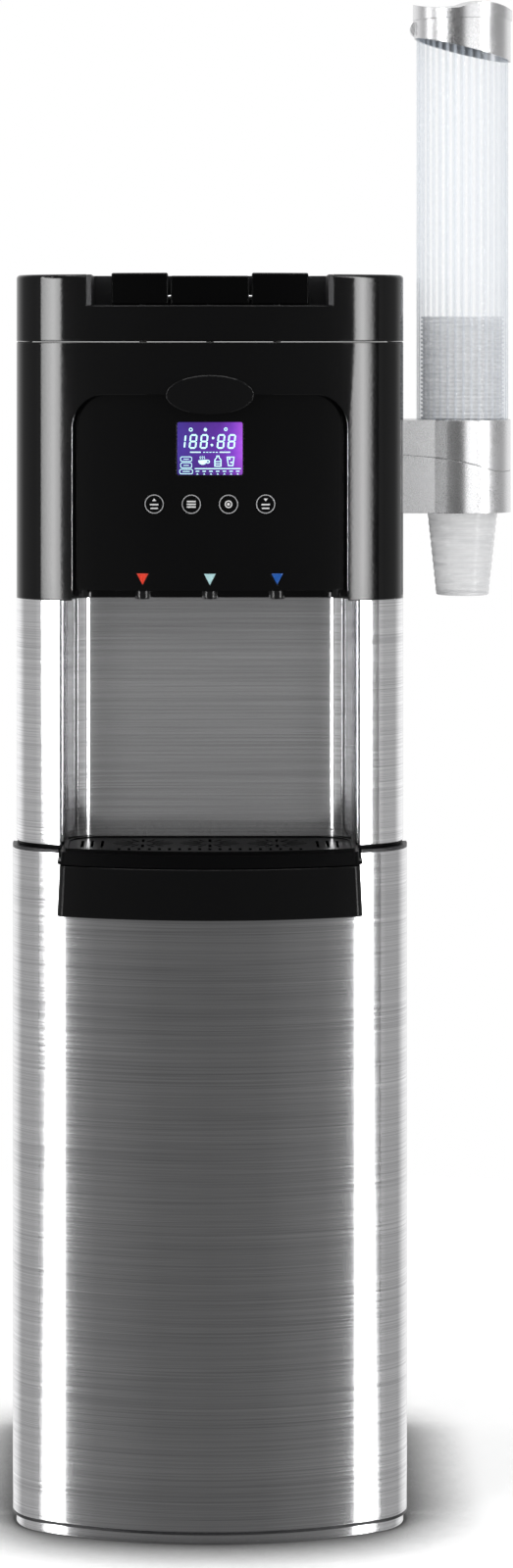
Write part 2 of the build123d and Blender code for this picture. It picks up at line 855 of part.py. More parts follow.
def marker_outline(x):
    """A tap's marker: a triangle pointing down, seen from the front."""
    with BuildSketch(Plane.XZ) as outline:
        with BuildLine():
            Polyline(
                (x - marker_width / 2, marker_top),
                (x + marker_width / 2, marker_top),
                (x, marker_top - marker_height),
                close=True,
            )
        make_face()
    return outline.sketch


button_places = [(place - 1.5) * button_spacing for place in range(4)]
tap_places = (("hot", -tap_spacing), ("room", 0.0), ("cold", tap_spacing))
plain_top = panel_top + head_wall - clearance

# Curved control panel behind the head cover's opening.
with BuildPart() as control_panel:
    add(
        seen_from_front(arch(head_wall - clearance, panel_bottom))
        & plan_ring(panel_inset, panel_back, panel_bottom, plain_top)
    )
    add(
        seen_from_front(window_outline(clearance))
        & plan_ring(0, panel_inset + window_thickness, panel_bottom, plain_top),
        mode=Mode.SUBTRACT,
    )
    add(seen_from_front(window_outline(-window_seat)), mode=Mode.SUBTRACT)
    for _, x in tap_places:
        add(
            seen_from_front(marker_outline(x))
            & plan_ring(0, panel_inset + marker_depth, panel_bottom, plain_top),
            mode=Mode.SUBTRACT,
        )
    for x in button_places:
        with Locations((x, front_y, button_z)):
            Cylinder(button_radius + clearance, 60, rotation=(90, 0, 0), mode=Mode.SUBTRACT)
save(control_panel, "control_panel")

for name, x in tap_places:
    with BuildPart() as marker:
        add(
            seen_from_front(marker_outline(x))
            & plan_ring(
                panel_inset - marker_proud, panel_inset + marker_depth, panel_bottom, plain_top
            )
        )
    save(marker, f"marker_{name}")

with BuildPart() as display_window:
    add(
        seen_from_front(window_outline(0))
        & plan_ring(panel_inset, panel_inset + window_thickness, panel_bottom, plain_top)
    )
save(display_window, "display_window")

with BuildPart() as display_module:
    lcd_front = bow_y(display_width / 2 + lcd_margin, panel_back) + clearance
    add(
        box_between(
            (-display_width / 2 - lcd_margin, lcd_front, display_z - display_height / 2 - 2),
            (display_width / 2 + lcd_margin, lcd_front + lcd_thickness,
             display_z + display_height / 2 + lcd_margin),
        )
    )

# Four push buttons on straight stems.
guide_y = flange_y + button_flange + button_travel + guide_gap
stem_end = guide_y + guide_thickness + stem_stick_out
board_y = stem_end + button_travel + guide_gap + switch_thickness
for place, x in enumerate(button_places, start=1):
    with BuildPart() as button:
        with BuildSketch(Plane.XZ.offset(-flange_y)):
            with Locations((x, button_z)):
                Circle(button_radius)
        extrude(amount=-2 * front_y)
        add(
            plan_solid(
                panel_inset - button_proud, button_z - 2 * button_radius,
                button_z + 2 * button_radius,
            ),
            mode=Mode.INTERSECT,
        )
        with BuildSketch(Plane.XZ.offset(-flange_y)):
            with Locations((x, button_z)):
                Circle(button_radius + flange_grow)
        extrude(amount=-button_flange)
        with BuildSketch(Plane.XZ.offset(-flange_y - button_flange)):
            with Locations((x, button_z)):
                Circle(stem_radius)
        extrude(amount=-(stem_end - flange_y - button_flange))
    save(button, f"button_{place}")

# Plate that guides the stems; it rises from the head's ceiling, behind the panel.
with BuildPart() as button_guide:
    add(
        box_between(
            (-guide_half_width, guide_y, panel_bottom + ceiling_thickness),
            (guide_half_width, guide_y + guide_thickness, button_z + guide_half_height),
        )
    )
    for x in button_places:
        with Locations((x, guide_y, button_z)):
            Cylinder(stem_radius + pin_clearance, 20, rotation=(90, 0, 0), mode=Mode.SUBTRACT)
    for side in (-1, 1):
        for level in (-1, 1):
            add(
                box_between(
                    (side * guide_half_width - (post_half if side < 0 else 3 * post_half),
                     guide_y + guide_thickness, button_z + level * guide_half_height - post_half),
                    (side * guide_half_width + (3 * post_half if side < 0 else post_half),
                     board_y, button_z + level * guide_half_height + post_half),
                )
            )

# Circuit board with the four switches that the stems press.
with BuildPart() as switch_board:
    add(
        box_between(
            (-guide_half_width - post_half, board_y, button_z - guide_half_height - post_half),
            (guide_half_width + post_half, board_y + board_thickness,
             button_z + guide_half_height + post_half),
        )
    )
    for x in button_places:
        add(
            box_between(
                (x - switch_size / 2, board_y - switch_thickness, button_z - switch_size / 2),
                (x + switch_size / 2, board_y, button_z + switch_size / 2),
            )
        )

with BuildPart() as electronics:
    add([display_module.part, switch_board.part])
save(electronics, "electronics")

# Ceiling over the recess, which carries the three taps.
with BuildPart() as ceiling:
    with BuildSketch(Plane.XY.offset(panel_bottom)):
        add(recess_outline(head_wall))
        add(plan_outline(panel_back + 1, side_front_y), mode=Mode.INTERSECT)
        for _, x in tap_places:
            with Locations((x, tap_y)):
                Circle(nozzle_radius + clearance, mode=Mode.SUBTRACT)
    extrude(amount=ceiling_thickness)
    add(button_guide.part)
save(ceiling, "ceiling")

ceiling_top = panel_bottom + ceiling_thickness
with BuildPart() as one_tap:
    add(rod(tap_radius, ceiling_top, tap_top, 0, tap_y))
    add(rod(nozzle_radius, nozzle_bottom, ceiling_top, 0, tap_y))
    with BuildSketch(Plane.XZ.offset(-tap_y)):
        with Locations((0, tap_port_z)):
            Circle(tap_port_radius)
    extrude(amount=-(tap_port_y - tap_y))
    fillet(one_tap.edges().group_by(Axis.Z)[-1], 1.5)
    fillet(one_tap.edges().group_by(Axis.Z)[0], 1.0)
    add(rod(nozzle_bore, nozzle_bottom - 1, tap_port_z - 4, 0, tap_y), mode=Mode.SUBTRACT)
    add(
        rod(plunger_radius + pin_clearance, tap_top - tap_bore_depth, tap_top + 1, 0, tap_y),
        mode=Mode.SUBTRACT,
    )

with BuildPart() as taps:
    with Locations(*[(x, 0, 0) for _, x in tap_places]):
        add(one_tap.part)
save(taps, "taps")

# Cap over the whole top, notched in front for the keys.
key_edge = notch_half_width - clearance
key_inset = upper_inset + key_front_inset
ear_far = key_outer_x + ear_gap + ear_thickness
with BuildPart() as top_cover:
    with BuildSketch(Plane.XY.offset(cover_bottom)):
        add(plan_outline(upper_inset, rear_y))
    extrude(amount=cover_top - cover_bottom)
    fillet(top_cover.edges().group_by(Axis.Z)[-1], cover_edge)
    with BuildSketch(Plane.XY.offset(cover_bottom)):
        add(plan_outline(upper_inset + cover_wall, rear_y - cover_wall))
    extrude(amount=cover_top - cover_wall - cover_bottom, mode=Mode.SUBTRACT)
    add(
        box_between(
            (-notch_half_width, 2 * front_y, notch_z),
            (notch_half_width, notch_rear_y, cover_top + 1),
        ),
        mode=Mode.SUBTRACT,
    )
save(top_cover, "top_cover")

# Tub that fills the notch: it carries the keys' axle and guides the push rods.
frame_inset = upper_inset + cover_wall + clearance
frame_top = cover_top - clearance
with BuildPart() as key_frame:
    with BuildSketch(Plane.XY.offset(key_frame_floor)):
        add(plan_outline(frame_inset, notch_rear_y - clearance))
        with Locations((0, front_y)):
            Rectangle(2 * key_edge, -4 * front_y, mode=Mode.INTERSECT)
    extrude(amount=head_wall)
    for side in (-1, 1):
        with BuildSketch(Plane.XY.offset(key_frame_floor)):
            add(plan_outline(frame_inset, notch_rear_y - clearance))
            with Locations((side * (key_edge - frame_wall / 2), front_y)):
                Rectangle(frame_wall, -4 * front_y, mode=Mode.INTERSECT)
        extrude(amount=frame_top - key_frame_floor)
        with BuildSketch(Plane.XY.offset(notch_z + clearance)):
            add(plan_outline(upper_inset, notch_rear_y - clearance))
            with Locations((side * (key_edge - frame_wall / 2), front_y)):
                Rectangle(frame_wall, -4 * front_y, mode=Mode.INTERSECT)
        extrude(amount=frame_top - notch_z - clearance)
        ear_x = side * (key_outer_x + ear_gap + ear_thickness / 2)
        add(
            box_between(
                (ear_x - ear_thickness / 2, key_axle_y - 6, key_frame_floor + head_wall),
                (ear_x + ear_thickness / 2, key_axle_y + 5, key_axle_z + 5),
            )
        )
    add(
        box_between(
            (-key_edge, notch_rear_y - clearance - 2, key_frame_floor),
            (key_edge, notch_rear_y - clearance, frame_top),
        )
    )
    with Locations((0, key_axle_y, key_axle_z)):
        Cylinder(axle_radius, 2 * ear_far, rotation=(0, 90, 0), mode=Mode.SUBTRACT)
    for _, x in tap_places:
        add(
            rod(plunger_radius + pin_clearance, key_frame_floor - 1, notch_z, x, tap_y),
            mode=Mode.SUBTRACT,
        )
save(key_frame, "key_frame")

with BuildPart() as key_axle:
    with Locations((0, key_axle_y, key_axle_z)):
        Cylinder(axle_radius, 2 * ear_far, rotation=(0, 90, 0))
save(key_axle, "key_axle")

# Three keys: hollow caps that turn on the axle at their rear edge and press the push rods.
for name, left, right, top, x in (
    ("hot", -key_outer_x, -key_inner_x - key_gap / 2, side_key_top, -tap_spacing),
    ("room", -key_inner_x + key_gap / 2, key_inner_x - key_gap / 2, room_key_top, 0.0),
    ("cold", key_inner_x + key_gap / 2, key_outer_x, side_key_top, tap_spacing),
):
    with BuildPart() as key:
        with BuildSketch(Plane.XY.offset(key_bottom)):
            add(plan_outline(key_inset, key_rear_y))
            with Locations(((left + right) / 2, front_y)):
                Rectangle(right - left, -4 * front_y, mode=Mode.INTERSECT)
        extrude(amount=top - key_bottom)
        fillet(key.edges().group_by(Axis.Z)[-1], key_rounding)
        with BuildSketch(Plane.XY.offset(key_bottom)):
            add(plan_outline(key_inset + key_wall, key_rear_y - key_wall))
            with Locations(((left + right) / 2, front_y)):
                Rectangle(right - left - 2 * key_wall, -4 * front_y, mode=Mode.INTERSECT)
        extrude(amount=top - key_wall - key_bottom, mode=Mode.SUBTRACT)
        add(rod(pad_radius, plunger_top + pad_gap, top - key_wall + 0.5, x, tap_y))
        with Locations(((left + right) / 2, key_axle_y, key_axle_z)):
            Cylinder(
                axle_radius + pin_clearance, right - left + 2, rotation=(0, 90, 0),
                mode=Mode.SUBTRACT,
            )
    save(key, f"key_{name}")

# Push rods from the keys down to the taps.
for name, x in tap_places:
    with BuildPart() as push_rod:
        add(rod(plunger_radius, tap_top - tap_bore_depth + rod_room, plunger_top, x, tap_y))
        fillet(push_rod.edges().filter_by(GeomType.CIRCLE).sort_by(Axis.Z)[-1], rod_dome)
    save(push_rod, f"push_rod_{name}")

# ================================================================ water works
shelf_top = shelf_z + sheet
foam_radius = cold_radius + tank_gap + foam_wall
tank_floor = shelf_top + foam_wall
foam_top = tank_floor + cold_height + tank_gap


def hose(points, radii):
    """A hose along straight runs joined by tangent arcs."""
    with BuildPart() as tube:
        with BuildLine() as route:
            FilletPolyline(*points, radius=radii)
        with BuildSketch(Plane(origin=route.line @ 0, z_dir=route.line % 0)):
            Circle(hose_radius)
            Circle(hose_bore, mode=Mode.SUBTRACT)
        sweep()
    return tube.part


# Chilled tank in a foam jacket; the cold block carries its cooling element to the heat sink.
with BuildPart() as cold_tank:
    add(rod(cold_radius, tank_floor, tank_floor + cold_height, cold_x, cold_y))
    fillet(cold_tank.edges().filter_by(GeomType.CIRCLE), tank_rounding)
    with BuildSketch(Plane.XZ.offset(-cold_y)):
        with Locations((cold_x, feed_z + tank_feed_rise)):
            Circle(barb_radius)
    extrude(amount=foam_radius + barb_length)
    with BuildSketch(Plane.XZ.offset(-cold_y)):
        with Locations((cold_x, feed_z + tank_feed_rise)):
            Circle(barb_bore)
    extrude(amount=foam_radius + barb_length, mode=Mode.SUBTRACT)
    add(
        rod(
            cold_radius - tank_wall, tank_floor + tank_rounding,
            tank_floor + cold_height - tank_rounding, cold_x, cold_y,
        ),
        mode=Mode.SUBTRACT,
    )
save(cold_tank, "cold_tank")

with BuildPart() as foam_jacket:
    add(rod(foam_radius, shelf_top, foam_top, cold_x, cold_y))
    add(
        rod(cold_radius + tank_gap, tank_floor, foam_top + 1, cold_x, cold_y), mode=Mode.SUBTRACT
    )
    with BuildSketch(Plane.XZ.offset(-cold_y)):
        with Locations((cold_x, feed_z + tank_feed_rise)):
            Circle(barb_radius + tank_gap)
    extrude(amount=2 * foam_radius, mode=Mode.SUBTRACT)
    add(
        box_between(
            (fan_x - block_half - tank_gap, cold_y, fan_z - block_half - tank_gap),
            (fan_x + block_half + tank_gap, cold_y + 2 * foam_radius,
             fan_z + block_half + tank_gap),
        ),
        mode=Mode.SUBTRACT,
    )

with BuildPart() as foam_cover:
    add(rod(foam_radius, foam_top + tank_gap, foam_top + foam_lid, cold_x, cold_y))
    fillet(foam_cover.edges().group_by(Axis.Z)[-1], 3)

with BuildPart() as foam:
    add([foam_jacket.part, foam_cover.part])
save(foam, "foam")

with BuildPart() as cold_block:
    add(
        box_between(
            (fan_x - block_half, cold_y, fan_z - block_half),
            (fan_x + block_half, block_rear, fan_z + block_half),
        )
    )
    add(
        rod(cold_radius, tank_floor - 1, tank_floor + cold_height + 1, cold_x, cold_y),
        mode=Mode.SUBTRACT,
    )
    with BuildSketch(Plane.XZ.offset(-block_rear)):
        with Locations((fan_x, fan_z)):
            Rectangle(2 * block_half - 4, 2 * block_half - 4)
    extrude(amount=-module_thickness)
save(cold_block, "cold_block")

with BuildPart() as heat_sink:
    sink_front = block_rear + module_thickness
    add(
        box_between(
            (fan_x - sink_half, sink_front, fan_z - sink_half),
            (fan_x + sink_half, sink_front + sink_base, fan_z + sink_half),
        )
    )
    fin_pitch = (2 * sink_half - fin_thickness) / (sink_fins - 1)
    for fin in range(sink_fins):
        left = fan_x - sink_half + fin * fin_pitch
        add(
            box_between(
                (left, sink_front + sink_base, fan_z - sink_half),
                (left + fin_thickness, sink_rear, fan_z + sink_half),
            )
        )
save(heat_sink, "heat_sink")

with BuildPart() as fan_frame:
    add(
        box_between(
            (fan_x - fan_half, sink_rear, fan_z - fan_half),
            (fan_x + fan_half, sink_rear + fan_depth, fan_z + fan_half),
        )
    )
    fillet(fan_frame.edges().filter_by(Axis.Y), 4)
    with Locations((fan_x, sink_rear + fan_depth / 2, fan_z)):
        Cylinder(fan_bore, fan_depth + 2, rotation=(90, 0, 0), mode=Mode.SUBTRACT)
    with Locations((fan_x, sink_rear + fan_strut / 2, fan_z)):
        for turn in (0, 90):
            Box(2 * fan_bore + 2, fan_strut, 4, rotation=(0, turn, 0))
        Cylinder(fan_hub, fan_strut, rotation=(90, 0, 0))
    with Locations((fan_x, sink_rear + fan_depth / 2, fan_z)):
        Cylinder(fan_shaft, fan_depth - 6, rotation=(90, 0, 0))
save(fan_frame, "fan_frame")

with BuildPart() as fan_rotor:
    rotor_front = sink_rear + fan_strut + 1
    rotor_rear = sink_rear + fan_depth - 1.5
    with BuildSketch(Plane.XZ.offset(-rotor_front)):
        with Locations((fan_x, fan_z)):
            Circle(fan_hub)
            Circle(fan_shaft + pin_clearance, mode=Mode.SUBTRACT)
    extrude(amount=-(rotor_rear - rotor_front))
    for blade in range(fan_blades):
        angle = 360 / fan_blades * blade
        with BuildSketch(
            Plane(
                origin=(fan_x, (rotor_front + rotor_rear) / 2, fan_z),
                x_dir=(0, 1, 0),
                z_dir=(cos(radians(angle)), 0, sin(radians(angle))),
            ).offset(fan_hub - 1)
        ):
            Rectangle(rotor_rear - rotor_front - 2, 1.6, rotation=blade_tilt)
        extrude(amount=fan_blade_radius - fan_hub)
save(fan_rotor, "fan_rotor")

# Heated tank; its steel foot ring and band heater are one group.
hot_floor = shelf_top + hot_ring_height

with BuildPart() as hot_tank:
    add(rod(hot_radius, hot_floor, hot_floor + hot_height, hot_x, hot_y))
    fillet(hot_tank.edges().filter_by(GeomType.CIRCLE).group_by(Axis.Z)[-1], 8)
    with BuildSketch(Plane.XZ.offset(-hot_y)):
        with Locations((hot_x, feed_z)):
            Circle(barb_radius)
    extrude(amount=hot_radius + barb_length)
    with BuildSketch(Plane.XZ.offset(-hot_y)):
        with Locations((hot_x, feed_z)):
            Circle(barb_bore)
    extrude(amount=hot_radius + barb_length, mode=Mode.SUBTRACT)
    add(
        rod(
            hot_radius - tank_wall, hot_floor + tank_rounding,
            hot_floor + hot_height - tank_rounding - 2, hot_x, hot_y,
        ),
        mode=Mode.SUBTRACT,
    )
save(hot_tank, "hot_tank")

with BuildPart() as heater_band:
    with BuildSketch(Plane.XY.offset(shelf_top)):
        with Locations((hot_x, hot_y)):
            Circle(hot_radius + 2)
            Circle(hot_radius - 8, mode=Mode.SUBTRACT)
    extrude(amount=hot_ring_height)
    with BuildSketch(Plane.XY.offset(band_z)):
        with Locations((hot_x, hot_y)):
            Circle(hot_radius + band_thickness)
            Circle(hot_radius, mode=Mode.SUBTRACT)
    extrude(amount=band_height)
    add(
        box_between(
            (hot_x - 8, hot_y + hot_radius + 1, band_z + 5),
            (hot_x + 8, hot_y + hot_radius + band_thickness + 8, band_z + band_height - 5),
        )
    )
save(heater_band, "heater_band")

with BuildPart() as pump:
    add(
        box_between(
            (pump_left, pump_front, shelf_top), (pump_right, pump_rear, shelf_top + pump_height)
        )
    )
    fillet(pump.edges().filter_by(Axis.Z), 5)
save(pump, "pump")

with BuildPart() as power_box:
    add(
        box_between(
            (box_left, box_front, box_low), (box_right, rear_inner_y - sheet - 0.5, box_high)
        )
    )
    fillet(power_box.edges().filter_by(Axis.Y), 4)
    add(
        box_between(
            (inlet_x - 14, rear_inner_y - sheet - 0.6, inlet_z - 14),
            (inlet_x + 14, rear_inner_y, inlet_z + 14),
        )
    )

# Bushing in the back panel, where the power supply enters.
with BuildPart() as power_inlet:
    with BuildSketch(Plane.XZ.offset(-rear_inner_y)):
        with Locations((inlet_x, inlet_z)):
            Circle(inlet_radius)
            Circle(inlet_bore, mode=Mode.SUBTRACT)
    extrude(amount=-sheet)
    with BuildSketch(Plane.XZ.offset(-rear_y)):
        with Locations((inlet_x, inlet_z)):
            Circle(inlet_radius + 3)
            Circle(inlet_bore, mode=Mode.SUBTRACT)
    extrude(amount=-inlet_flange)

with BuildPart() as power_supply:
    add([power_box.part, power_inlet.part])
save(power_supply, "power_supply")

# Draw tube that goes into the bottle; it stands in the bay's rear left corner.
with BuildPart() as probe:
    add(rod(probe_radius, plinth_height, probe_height, probe_x, probe_y))
    add(
        rod(
            probe_cap_radius, probe_height - probe_cap_height, probe_height, probe_x, probe_y
        )
    )
    fillet(probe.edges().filter_by(GeomType.CIRCLE).group_by(Axis.Z)[-1], 3)
save(probe, "probe")

suction = hose(
    [
        (probe_x, probe_y, probe_height),
        (probe_x, probe_y, feed_z),
        (pump_suction_x, probe_y, feed_z),
        (pump_suction_x, pump_rear, feed_z),
    ],
    [20, 20],
)

cold_feed_z = feed_z + tank_feed_rise
hot_feed = hose(
    [
        (pump_left, pump_mid_y, feed_z),
        (hot_x, pump_mid_y, feed_z),
        (hot_x, hot_y - hot_radius - barb_length, feed_z),
    ],
    [20],
)
cold_feed = hose(
    [
        (pump_right, pump_mid_y, cold_feed_z),
        (cold_x, pump_mid_y, cold_feed_z),
        (cold_x, cold_y - foam_radius - barb_length, cold_feed_z),
    ],
    [8],
)
tap_hoses = [
    hose([(x, tap_port_y, tap_port_z), (x, y, tap_port_z), (x, y, low)], [25])
    for x, y, low in (
        (0, pump_mid_y, shelf_top + pump_height),
        (-tap_spacing, hot_y - 10, hot_floor + hot_height),
        (tap_spacing, cold_y - 20, foam_top + foam_lid),
    )
]
with BuildPart() as hoses:
    add([suction, hot_feed, cold_feed, *tap_hoses])
save(hoses, "hoses")

# ================================================================ cup dispenser
tube_radius = bracket_radius - bracket_wall - clearance
cap_radius = tube_radius + cap_gap + cap_wall
bore_radius = bracket_radius - bracket_wall
cup_slope = (cup_body_radius - cup_base_radius) / (cup_height - cup_rim_height)
finger_top = cup_bottom + cup_height - cup_rim_height - clearance
mount_half = bracket_arm_half - bracket_wall - clearance


def above_seam(shift):
    """Everything above the wavy seam between the bracket's two shells, moved up by shift."""
    with BuildSketch(Plane.XZ.offset(-cup_y)) as side_view:
        far = cup_x + bracket_radius + 2
        low = seam_right_z + shift
        with BuildLine():
            Line((upper_half - 1, seam_left_z + shift), (seam_crease_x, seam_crease_z + shift))
            ThreePointArc(
                (seam_crease_x, seam_crease_z + shift),
                (seam_crease_x + 16, (seam_crease_z * 3 + seam_right_z) / 4 + shift + 0.8),
                (cup_x + 18, low + 2.5),
            )
            ThreePointArc((cup_x + 18, low + 2.5), (cup_x + 30, low), (far, low + 1))
            Line((far, low + 1), (far, bracket_top + 10))
            Line((far, bracket_top + 10), (upper_half - 1, bracket_top + 10))
            Line((upper_half - 1, bracket_top + 10), (upper_half - 1, seam_left_z + shift))
        make_face()
    return extrude(side_view.sketch, amount=2 * bracket_radius, both=True, mode=Mode.PRIVATE)


# The bracket: an arm off the cabinet's side that runs into a ring round the tube.
with BuildPart() as bracket:
    with BuildSketch(Plane.XY.offset(bracket_bottom)):
        with Locations(((upper_half + cup_x) / 2, cup_y)):
            Rectangle(cup_x - upper_half, 2 * bracket_arm_half)
        with Locations((cup_x, cup_y)):
            Circle(bracket_radius)
    extrude(amount=bracket_top - bracket_bottom)
    fillet(bracket.edges().filter_by(GeomType.CIRCLE).group_by(Axis.Z)[-1], 0.6)
    with BuildSketch(Plane.XY.offset(bracket_bottom + bracket_wall)):
        with Locations(((upper_half - 1 + cup_x) / 2, cup_y)):
            Rectangle(cup_x - upper_half + 1, 2 * (bracket_arm_half - bracket_wall))
        with Locations((cup_x, cup_y)):
            Circle(bracket_radius, mode=Mode.SUBTRACT)
    extrude(amount=bracket_top - bracket_bottom - 2 * bracket_wall, mode=Mode.SUBTRACT)
    add(rod(bore_radius, bracket_bottom - 1, bracket_top + 1, cup_x, cup_y), mode=Mode.SUBTRACT)
    for low, high, inner in (
        (tube_ledge_z - tube_ledge, tube_ledge_z, cup_rim_radius + 0.6),
        (finger_top - finger_height - tube_ledge, finger_top - finger_height,
         cup_rim_radius + 1.5),
    ):
        with BuildSketch(Plane.XY.offset(low)):
            with Locations((cup_x, cup_y)):
                Circle(bore_radius + 0.5)
                Circle(inner, mode=Mode.SUBTRACT)
        extrude(amount=high - low)
    for y in (-cup_screw_y, cup_screw_y):
        for z in cup_screw_z:
            far_y = bracket_arm_half - bracket_wall / 2
            add(
                box_between(
                    (upper_half + bracket_back + clearance,
                     cup_y + (y - boss_half if y > 0 else -far_y), z - boss_half),
                    (upper_half + bracket_back + boss_length,
                     cup_y + (far_y if y > 0 else y + boss_half), z + boss_half),
                )
            )
    with Locations(
        *[
            (upper_half, cup_y + y, z)
            for y in (-cup_screw_y, cup_screw_y)
            for z in cup_screw_z
        ]
    ):
        Cylinder(screw_radius, 2 * cup_screw_reach, rotation=(0, 90, 0), mode=Mode.SUBTRACT)

with BuildPart() as cup_bracket_upper:
    add(bracket.part & above_seam(seam_gap / 2))
save(cup_bracket_upper, "cup_bracket_upper")

with BuildPart() as cup_bracket_lower:
    add(bracket.part - above_seam(-seam_gap / 2))
save(cup_bracket_lower, "cup_bracket_lower")

# Steel plate inside the arm, against the cabinet's side, and the four screws through both.
with BuildPart() as mount_plate:
    add(
        box_between(
            (upper_half, cup_y - mount_half, bracket_bottom + bracket_wall + clearance),
            (upper_half + bracket_back, cup_y + mount_half, bracket_top - bracket_wall - clearance),
        )
    )
    with Locations(
        *[
            (upper_half, cup_y + y, z)
            for y in (-cup_screw_y, cup_screw_y)
            for z in cup_screw_z
        ]
    ):
        Cylinder(screw_radius + clearance, 20, rotation=(0, 90, 0), mode=Mode.SUBTRACT)

with BuildPart() as cup_screws:
    for y in (-cup_screw_y, cup_screw_y):
        for z in cup_screw_z:
            with BuildSketch(Plane.YZ.offset(inner_half)):
                with Locations((cup_y + y, z)):
                    Circle(screw_radius)
            extrude(amount=upper_half + cup_screw_reach - inner_half)
            with BuildSketch(Plane.YZ.offset(inner_half)):
                with Locations((cup_y + y, z)):
                    Circle(2 * screw_radius)
            extrude(amount=-screw_head)

with BuildPart() as cup_fixing:
    add([mount_plate.part, cup_screws.part])
save(cup_fixing, "cup_mount")

# Clear fluted tube.
with BuildPart() as cup_tube:
    with BuildSketch(Plane.XY.offset(tube_ledge_z)):
        with Locations((cup_x, cup_y)):
            Circle(tube_radius)
            Circle(tube_radius - tube_wall, mode=Mode.SUBTRACT)
            with PolarLocations(tube_radius + 1.6 - flute_depth, tube_flutes):
                Circle(1.6, mode=Mode.SUBTRACT)
    extrude(amount=tube_top - tube_ledge_z)
save(cup_tube, "cup_tube")

# Flexible ring whose fingers hold the lowest cup by its rim.
with BuildPart() as cup_retainer:
    with BuildSketch(Plane.XY.offset(finger_top - finger_height)):
        with Locations((cup_x, cup_y)):
            Circle(bore_radius - clearance)
            Circle(cup_rim_radius - finger_hold, mode=Mode.SUBTRACT)
            with PolarLocations(cup_rim_radius - finger_hold, finger_slots):
                Rectangle(4, 14, mode=Mode.SUBTRACT)
    extrude(amount=finger_height)
save(cup_retainer, "cup_retainer")

with BuildPart() as one_cup:
    with BuildSketch(Plane.XZ):
        rim_low = cup_height - cup_rim_height
        with BuildLine():
            Polyline(
                (0, 0),
                (cup_base_radius, 0),
                (cup_body_radius, rim_low),
                (cup_rim_radius, rim_low),
                (cup_rim_radius, cup_height),
                (cup_body_radius + cup_rim_height * cup_slope - cup_wall, cup_height),
                (cup_base_radius + cup_base * cup_slope - cup_wall, cup_base),
                (0, cup_base),
                close=True,
            )
        make_face()
    revolve(axis=Axis.Z)

with BuildPart() as lowest_cup:
    with Locations((cup_x, cup_y, cup_bottom)):
        add(one_cup.part)
save(lowest_cup, "lowest_cup")

with BuildPart() as cup_stack:
    with Locations(
        *[(cup_x, cup_y, cup_bottom + place * cup_pitch) for place in range(1, cups_stacked + 1)]
    ):
        add(one_cup.part)
save(cup_stack, "cup_stack")

# Lift-off cap: a skirt with a slanted lower edge under a wavy lid.
with BuildPart() as cup_cap:
    add(rod(cap_radius, cap_right_z, cap_top, cup_x, cup_y))
    add(rod(cap_radius + lid_overhang, cap_top - lid_edge, cap_top + wave_peak[1] + 10, cup_x, cup_y))
    reach = cap_radius + lid_overhang + 1
    with BuildSketch(Plane.XZ.offset(-cup_y), mode=Mode.PRIVATE) as wave:
        dip = (cup_x + wave_dip[0], cap_top + wave_dip[1])
        turn = (cup_x + wave_turn[0], cap_top + wave_turn[1])
        peak = (cup_x + wave_peak[0], cap_top + wave_peak[1])
        with BuildLine():
            ThreePointArc((cup_x - reach, cap_top + wave_left_rise), dip, turn)
            ThreePointArc(turn, peak, (cup_x + reach, cap_top + wave_right_rise))
            Line((cup_x + reach, cap_top + wave_right_rise), (cup_x + reach, cap_left_z - 60))
            Line((cup_x + reach, cap_left_z - 60), (cup_x - reach, cap_left_z - 60))
            Line((cup_x - reach, cap_left_z - 60), (cup_x - reach, cap_top + wave_left_rise))
        make_face()
    wave_solid = extrude(
        Pos(0, -50, -50 * lid_slope) * wave.sketch, amount=100 * hypot(1, lid_slope),
        dir=(0, 1, lid_slope), mode=Mode.PRIVATE,
    )
    add(wave_solid, mode=Mode.INTERSECT)
    add(
        rod(cap_radius - cap_wall, cap_right_z - 1, tube_top, cup_x, cup_y), mode=Mode.SUBTRACT
    )
    with BuildSketch(Plane.XZ.offset(-cup_y)) as slant:
        with BuildLine():
            Polyline(
                (cup_x - reach, cap_left_z),
                (cup_x + reach, cap_right_z),
                (cup_x + reach, cap_right_z - 20),
                (cup_x - reach, cap_right_z - 20),
                close=True,
            )
        make_face()
    extrude(amount=2 * cap_radius, both=True, mode=Mode.SUBTRACT)
    with BuildSketch(Plane.XZ.offset(-cup_y + tab_half)):
        with Locations((cup_x - cap_radius + tab_radius / 2, cap_top - lid_edge - tab_radius)):
            Circle(tab_radius)
    extrude(amount=-2 * tab_half)
    add(
        rod(cap_radius - cap_wall, cap_right_z - 1, tube_top, cup_x, cup_y), mode=Mode.SUBTRACT
    )
save(cup_cap, "cup_cap")
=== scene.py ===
"""Looks of the bottom load water cooler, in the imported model's frame, in metres."""
import json
import math

import bmesh
import bpy
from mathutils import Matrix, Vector
from mathutils.bvhtree import BVHTree


